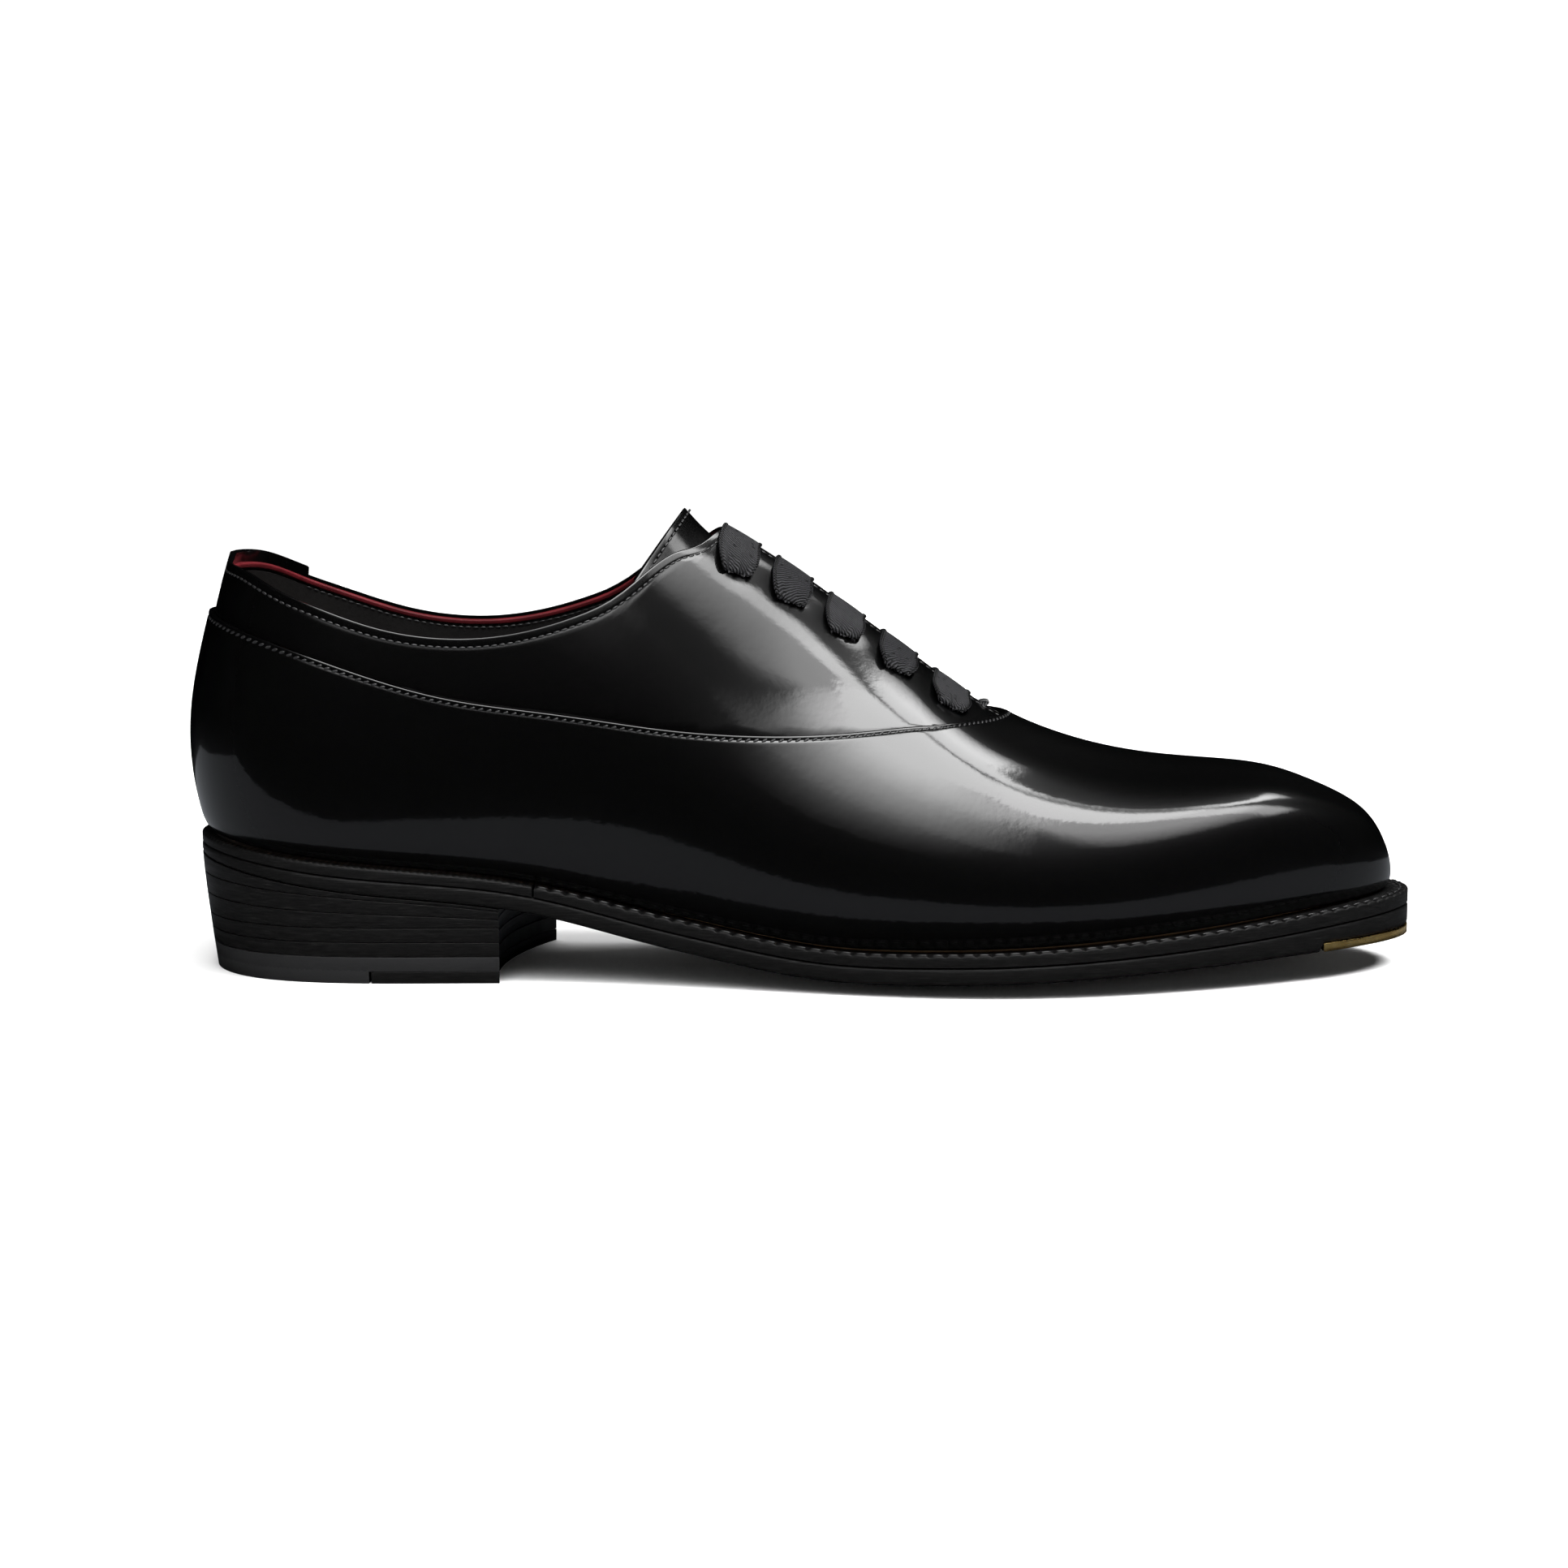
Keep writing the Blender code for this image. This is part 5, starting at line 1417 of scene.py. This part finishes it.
class OXFORD_OT_tongue(bpy.types.Operator):
    """Tongue and its lining, on the tongue body."""
    bl_idname = "oxford.tongue"
    bl_label = "Tongue"

    def execute(self, context):
        settings = context.scene.oxford_finish
        ob, rows = build_tongue(settings.fold / MM)
        finish_piece(ob, material("patent"), TONGUE, "patent_leather", "tongue")
        finish_piece(build_tongue_lining(), material("lining"), TONGUE, "black_lining", "tongue_lining")
        stitches("tongue_stitches", rows, settings.stitch_length / MM, settings.stitch_width / MM, .34,
                 material("thread"), TONGUE)
        return {"FINISHED"}


class OXFORD_OT_stitching(bpy.types.Operator):
    """Stitch rows along the galosh, topline, facings and heel tab."""
    bl_idname = "oxford.stitching"
    bl_label = "Stitching"

    def execute(self, context):
        settings = context.scene.oxford_finish
        length, width = settings.stitch_length / MM, settings.stitch_width / MM
        thread = material("thread")
        p, out = inset(seam_curve(), STITCH_IN, GALOSH - .10, SEAM_SIDE)
        seam_row = resample(p, settings.seam_pitch / MM, out)
        stitches("seam_stitches", [seam_row], length * 1.05, width * 1.15, .42, thread, SHOE,
                 slant=math.radians(30))
        rows = []
        for side in (LATERAL, MEDIAL):
            p, out = inset(top_curve(side), TOP_STITCH_IN, QUARTER - .08, TOP_SIDE[side])
            if side == LATERAL:
                p = p + out * (.35 * np.clip((top_curve(side)[0] + .03) / .03, 0, 1))[:, None]
            rows.append(resample(p, settings.top_pitch / MM, out))
        stitches("topline_stitches", rows, length, width, .38, thread, SHOE)
        inside = []
        for side in (LATERAL, MEDIAL):
            u, t = top_curve(side)
            kept = (station(u) < 128) & ((u < 0) | (side == MEDIAL))
            p, out = inset((u[kept], t[kept]), TOP_STITCH_IN + .6, LINING_IN - .02, TOP_SIDE[side])
            inside.append(resample(p, settings.top_pitch / MM, out))
        stitches("lining_stitches", inside, length, width, .3, thread, SHOE)
        return {"FINISHED"}


class OXFORD_OT_lace(bpy.types.Operator):
    """Ribbon lace with stitched edges and the throat bar tack."""
    bl_idname = "oxford.lace"
    bl_label = "Ribbon lace"

    def execute(self, context):
        settings = context.scene.oxford_lace
        ribbon = material("ribbon")
        ob, edges = build_lace(settings.width / MM, settings.picot / MM)
        finish_piece(ob, ribbon, SHOE, "ribbon", "lace")
        for word, sign in (("rear", -1), ("front", 1)):
            rows = [row for row, s in edges if s == sign]
            stitches("ribbon_edge_" + word, rows, 1.15, .42, .5, ribbon, SHOE, "ribbon",
                     slant=sign * math.radians(38), lift=.02)
        finish_piece(build_tack(), material("thread"), SHOE, "thread", "throat_tack")
        return {"FINISHED"}


class OXFORD_OT_bottom(bpy.types.Operator):
    """Outsole, wheeled welt and rand, stacked heel, brass toe plate and screws."""
    bl_idname = "oxford.bottom"
    bl_label = "Bottom"

    def execute(self, context):
        settings = context.scene.oxford_bottom
        rounding = settings.edge_round / MM
        edge, stack_leather = material("edge"), material("stack")
        finish_piece(build_outsole(rounding * 1.6), edge, SHOE, "sole_edge", "outsole")
        v = sole_angle(JOIN)
        welt, line, places = build_strip("welt_wheeled", v + .004, 2 * math.pi - v - .004, 9.5,
                                         settings.wheel_pitch / MM, settings.wheel_depth / MM, .42, .5)
        finish_piece(welt, edge, SHOE, "sole_edge", "welt")
        rand, _, _ = build_strip("heel_rand_wheeled", -v, v, 8.0, 1.7, .16, .34, .34)
        finish_piece(rand, edge, SHOE, "sole_edge", "heel_rand")
        self.welt_thread(line, places, settings.wheel_pitch / MM)
        lifts, rubber, insert = build_heel(rounding * .25)
        for k, lift in enumerate(lifts):
            finish_piece(lift, stack_leather, SHOE, "sole_edge", "heel_lift_%d" % (k + 1))
        finish_piece(rubber, material("rubber"), SHOE, "heel_rubber", "top_piece")
        finish_piece(insert, stack_leather, SHOE, "sole_edge", "top_piece_insert")
        brass = material("brass")
        finish_piece(build_plate(), brass, SHOE, "brass", "toe_plate")
        for k, (x, y) in enumerate(((283.5, -13.0), (283.5, 14.0), (292.5, .5))):
            finish_piece(build_screw(k + 1, x, y), brass, SHOE, "brass", "toe_screw_%d" % (k + 1))
        return {"FINISHED"}

    def welt_thread(self, line, places, pitch):
        """One stitch between each pair of wheel marks."""
        middles = np.arange(pitch / 2, places[-1], pitch)
        at = np.array([np.interp(middles, places, line[:, k]) for k in range(3)]).T
        ahead = np.array([np.interp(middles + .3, places, line[:, k]) for k in range(3)]).T - at
        ahead /= np.linalg.norm(ahead, axis=1, keepdims=True)
        up = np.tile((0, 0, 1.0), (len(at), 1))
        stitches("welt_stitches", [(at, ahead, up)], pitch * .72, .7, .5, material("thread"), SHOE)


class OXFORD_OT_hidden(bpy.types.Operator):
    """Finishes for the pieces carried over inside: counter, puff, side linings, cork, shank and tags."""
    bl_idname = "oxford.hidden"
    bl_label = "Inner pieces"

    def execute(self, context):
        finishes = {
            "heel_counter": ("tan", "raw_leather"), "toe_puff": ("tan", "raw_leather"),
            "side_lining_lateral": ("tan", "raw_leather"), "side_lining_medial": ("tan", "raw_leather"),
            "cork_filler": ("cork", "cork"), "shank": ("steel", "spring_steel"),
            "aglet_front": ("aglet", "aglet"), "aglet_rear": ("aglet", "aglet"),
        }
        for node, (finish, slot_name) in finishes.items():
            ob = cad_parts[node]
            ob.data.materials.clear()
            ob.data.materials.append(material(finish))
        return {"FINISHED"}


# ------------------------------------------------------------------ stage
TARGET = np.array((0.1106, 0.0, 0.0442))
CAMERA_DISTANCE, CAMERA_HEIGHT = 0.900, 7.7
SENSOR, LENS = 36.0, 83.13


def direction(azimuth, elevation):
    """From the shoe: azimuth 0 to the front, positive towards the toe."""
    a, e = math.radians(azimuth), math.radians(elevation)
    return np.array((math.sin(a) * math.cos(e), -math.cos(a) * math.cos(e), math.sin(e)))


def soft_step(x, low, high):
    s = min(max((x - low) / (high - low), 0), 1)
    return s * s * (3 - 2 * s)


def within(x, low, full, fading, high):
    """1 from full to fading, with soft ends out to low and high."""
    return soft_step(x, low, full) * (1 - soft_step(x, fading, high))


def panel_glow(azimuth, elevation):
    """A large panel overhead in front, its lower edge climbing towards the toe, with a tall box at the toe
    end and a long narrow one behind it; all three have soft edges."""
    edge = np.interp(elevation, (20, 24, 32, 36, 44, 52, 56, 60, 64, 67),
                     (0, 5, 12, 20, 25, 32, 38, 48, 60, 150))
    peak = np.interp(elevation, (20, 28, 32, 36, 40, 44, 48, 52, 56, 60, 64),
                     (.4, 1.2, 1.9, 2.8, 4, 5.4, 6.6, 8.8, 10.4, 11.8, 13))
    level = np.interp(elevation, (24, 44, 52, 56, 62, 70), (.12, .22, .4, .6, .6, .75))
    inward = edge - azimuth
    main = peak * (level * soft_step(inward, -2, 9) + (1 - level) * soft_step(inward, 0, 32))
    main *= within(azimuth, -38, -16, 92, 106) * (1 - soft_step(elevation, 70, 80))
    box = np.interp(elevation, (41, 46, 53, 60, 66), (0, 6, 7, 12, 11))
    box *= within(azimuth, 67, 78, 88, 101) * (1 - soft_step(elevation, 66, 72))
    place = np.interp(elevation, (42, 48, 52, 56, 60, 64), (143, 137, 132, 125, 116, 108))
    long_box = np.interp(elevation, (42, 48, 52, 56, 66), (0, 6, 9.5, 12, 12))
    long_box *= within(azimuth, place - 11, place - 3, place + 3, place + 10)
    long_box *= 1 - soft_step(elevation, 64, 70)
    bridge = np.interp(elevation, (44, 50, 58), (0, 2.5, 5)) * (1 - soft_step(elevation, 68, 74))
    bridge *= within(azimuth, 30, 44, 74, 84)
    return max(main, box, long_box, bridge)


def glow_patch(name, azimuths, elevations, glow, distance=2.4):
    """A curved softbox whose strength follows glow(azimuth, elevation)."""
    across_count, up_count = 193, 63
    az, el = np.linspace(*azimuths, across_count), np.linspace(*elevations, up_count)
    verts = [tuple(TARGET + direction(a, e) * distance) for a in az for e in el]
    faces = [[i * up_count + j, i * up_count + j + 1, (i + 1) * up_count + j + 1, (i + 1) * up_count + j]
             for i in range(across_count - 1) for j in range(up_count - 1)]
    mesh = bpy.data.meshes.new(name)
    mesh.from_pydata(verts, [], faces)
    values = mesh.attributes.new("glow", "FLOAT", "POINT")
    values.data.foreach_set("value", [float(glow(a, e)) for a in az for e in el])
    ob = bpy.data.objects.new(name, mesh)
    bpy.context.scene.collection.objects.link(ob)
    m = bpy.data.materials.new(name)
    m.use_nodes = True
    tree = m.node_tree
    tree.nodes.clear()
    read = add(tree, "ShaderNodeAttribute", attribute_name="glow")
    light, out = tree.nodes.new("ShaderNodeEmission"), tree.nodes.new("ShaderNodeOutputMaterial")
    tree.links.new(read.outputs["Fac"], light.inputs["Strength"])
    tree.links.new(light.outputs[0], out.inputs["Surface"])
    mesh.materials.append(m)
    ob.visible_camera = False
    ob.visible_shadow = False
    return ob


def sun_light(name, towards, strength, spread_degrees):
    """Soft light from a direction, seen by matt surfaces only."""
    data = bpy.data.lights.new(name, "SUN")
    data.energy, data.angle = strength, math.radians(spread_degrees)
    ob = bpy.data.objects.new(name, data)
    bpy.context.scene.collection.objects.link(ob)
    ob.rotation_euler = Vector(towards).to_track_quat("Z", "Y").to_euler()
    ob.visible_glossy = False
    return ob


def floor_plane(name, rings, z, colour):
    """Flat floor between two closed outlines, in metres."""
    outer, inner = rings
    count = len(outer)
    points = [(x, y, z) for x, y in outer] + [(x, y, z) for x, y in inner]
    if len(inner):
        faces = [[k, (k + 1) % count, count + (k + 1) % count, count + k] for k in range(count)]
    else:
        faces = [list(range(count))]
    ob = mesh_object(name, np.array(points) / MM, faces, smooth=False)
    ob.data.materials.append(node_material(name, colour, 1.0, spec=0.0)[0])
    return ob


def rectangle(centre, half, angles):
    """Points of a rectangle's outline, in the directions given."""
    c, s = np.cos(angles), np.sin(angles)
    reach = 1 / np.maximum(np.abs(c) / half[0], np.abs(s) / half[1])
    return np.stack([centre[0] + c * reach, centre[1] + s * reach], 1)


# Distance from the sole out to the floor seen in the leather: the gap is a painted shadow of the shoe in the
# floor's reflection.
REFLECTED_SHADOW_GAP = 36.0
FLOOR_MIDDLE, FLOOR_HALF = (.11, .05), (.48, .194)
HEEL_TRIM, HEEL_PLACE = .30, .10  # the floor's front edge draws in by this share of the way past the heel


def mirrored_floor():
    """The lit floor seen in the leather, starting a little outside the shoe; the dark gap round the shoe is a
    painted shadow in the floor's reflection.
    """
    near = np.array([plain(*p, 0.0)[:2] for p in offset_outline(sole_outline(160), -REFLECTED_SHADOW_GAP)]) * MM
    away = near - (FLOOR_MIDDLE[0], 0.0)
    far = rectangle(FLOOR_MIDDLE, FLOOR_HALF, np.arctan2(away[:, 1], away[:, 0]))
    far[:, 1] += np.where(far[:, 1] < 0, HEEL_TRIM * np.clip(HEEL_PLACE - far[:, 0], 0, .12), 0)
    return far, near


class OXFORD_OT_stage(bpy.types.Operator):
    """White floor, softbox, suns and the camera."""
    bl_idname = "oxford.stage"
    bl_label = "Studio"

    def execute(self, context):
        settings = context.scene.oxford_stage
        scene = context.scene
        camera = bpy.data.objects.new("camera", bpy.data.cameras.new("camera"))
        scene.collection.objects.link(camera)
        place = TARGET + direction(0, CAMERA_HEIGHT) * CAMERA_DISTANCE
        camera.location = place
        camera.rotation_euler = (Vector(TARGET) - Vector(place)).to_track_quat("-Z", "Y").to_euler()
        camera.data.sensor_width, camera.data.lens = SENSOR, LENS
        camera.data.clip_start, camera.data.clip_end = .02, 50
        scene.camera = camera

        world = bpy.data.worlds.new("studio")
        world.use_nodes = True
        scene.world = world
        tree = world.node_tree
        path = tree.nodes.new("ShaderNodeLightPath")
        soft = add(tree, "ShaderNodeMath", operation="MULTIPLY_ADD")
        soft.inputs[1].default_value = settings.ambient
        tree.links.new(path.outputs["Is Diffuse Ray"], soft.inputs[0])
        tree.links.new(path.outputs["Is Camera Ray"], soft.inputs[2])
        tree.nodes["Background"].inputs["Color"].default_value = (1.1, 1.1, 1.1, 1)
        tree.links.new(soft.outputs[0], tree.nodes["Background"].inputs["Strength"])

        panel = glow_patch("front_softbox", (-36, 156), (18, 80),
                           lambda a, e: settings.front * panel_glow(a, e))
        lights = [sun_light("key_sun", direction(70, 55), settings.fill, 20),
                  sun_light("back_sun", direction(170, 62), settings.fill * .5, 50)]
        # The floor seen in the leather is a darker copy of the paper floor, seen by glossy rays only: painted
        # shade in the floor's reflection.
        near = floor_plane("floor_mirrored", mirrored_floor(), -.0006, (.12, .126, .135))
        near.visible_camera = near.visible_shadow = near.visible_diffuse = False
        corners = rectangle((.11, 0), (1.6, 1.2), np.arange(4) * math.pi / 2 + .6)
        far = floor_plane("floor_paper", (corners, ()), 0.0, (.86, .86, .86))
        far.visible_glossy = far.visible_shadow = False
        scene.view_settings.view_transform = "Standard"
        scene.view_settings.look = "None"
        return {"FINISHED"}


OPERATORS = (OXFORD_OT_upper, OXFORD_OT_linings, OXFORD_OT_tongue, OXFORD_OT_stitching, OXFORD_OT_lace,
             OXFORD_OT_bottom, OXFORD_OT_hidden, OXFORD_OT_stage)


class OXFORD_PT_panel(bpy.types.Panel):
    """Oxford finishing steps."""
    bl_idname = "OXFORD_PT_panel"
    bl_label = "Oxford"
    bl_space_type = "VIEW_3D"
    bl_region_type = "UI"
    bl_category = "Oxford"

    def draw(self, context):
        for settings in (context.scene.oxford_finish, context.scene.oxford_lace, context.scene.oxford_bottom,
                         context.scene.oxford_stage):
            for name in settings.bl_rna.properties.keys():
                if name not in ("rna_type", "name"):
                    self.layout.prop(settings, name)
        for operator in OPERATORS:
            self.layout.operator(operator.bl_idname)


GROUPS = {"oxford_finish": OxfordFinish, "oxford_lace": OxfordLace, "oxford_bottom": OxfordBottom,
          "oxford_stage": OxfordStage}


def register():
    for cls in (*GROUPS.values(), *OPERATORS, OXFORD_PT_panel):
        bpy.utils.register_class(cls)
    for name, cls in GROUPS.items():
        setattr(bpy.types.Scene, name, PointerProperty(type=cls))


def unregister():
    for name in GROUPS:
        delattr(bpy.types.Scene, name)
    for cls in reversed((*GROUPS.values(), *OPERATORS, OXFORD_PT_panel)):
        bpy.utils.unregister_class(cls)


def main():
    register()
    bpy.ops.oxford.stage()
    bpy.ops.oxford.upper()
    bpy.ops.oxford.linings()
    bpy.ops.oxford.tongue()
    bpy.ops.oxford.stitching()
    bpy.ops.oxford.lace()
    bpy.ops.oxford.bottom()
    bpy.ops.oxford.hidden()
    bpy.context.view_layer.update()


if __name__ == "__main__":
    main()
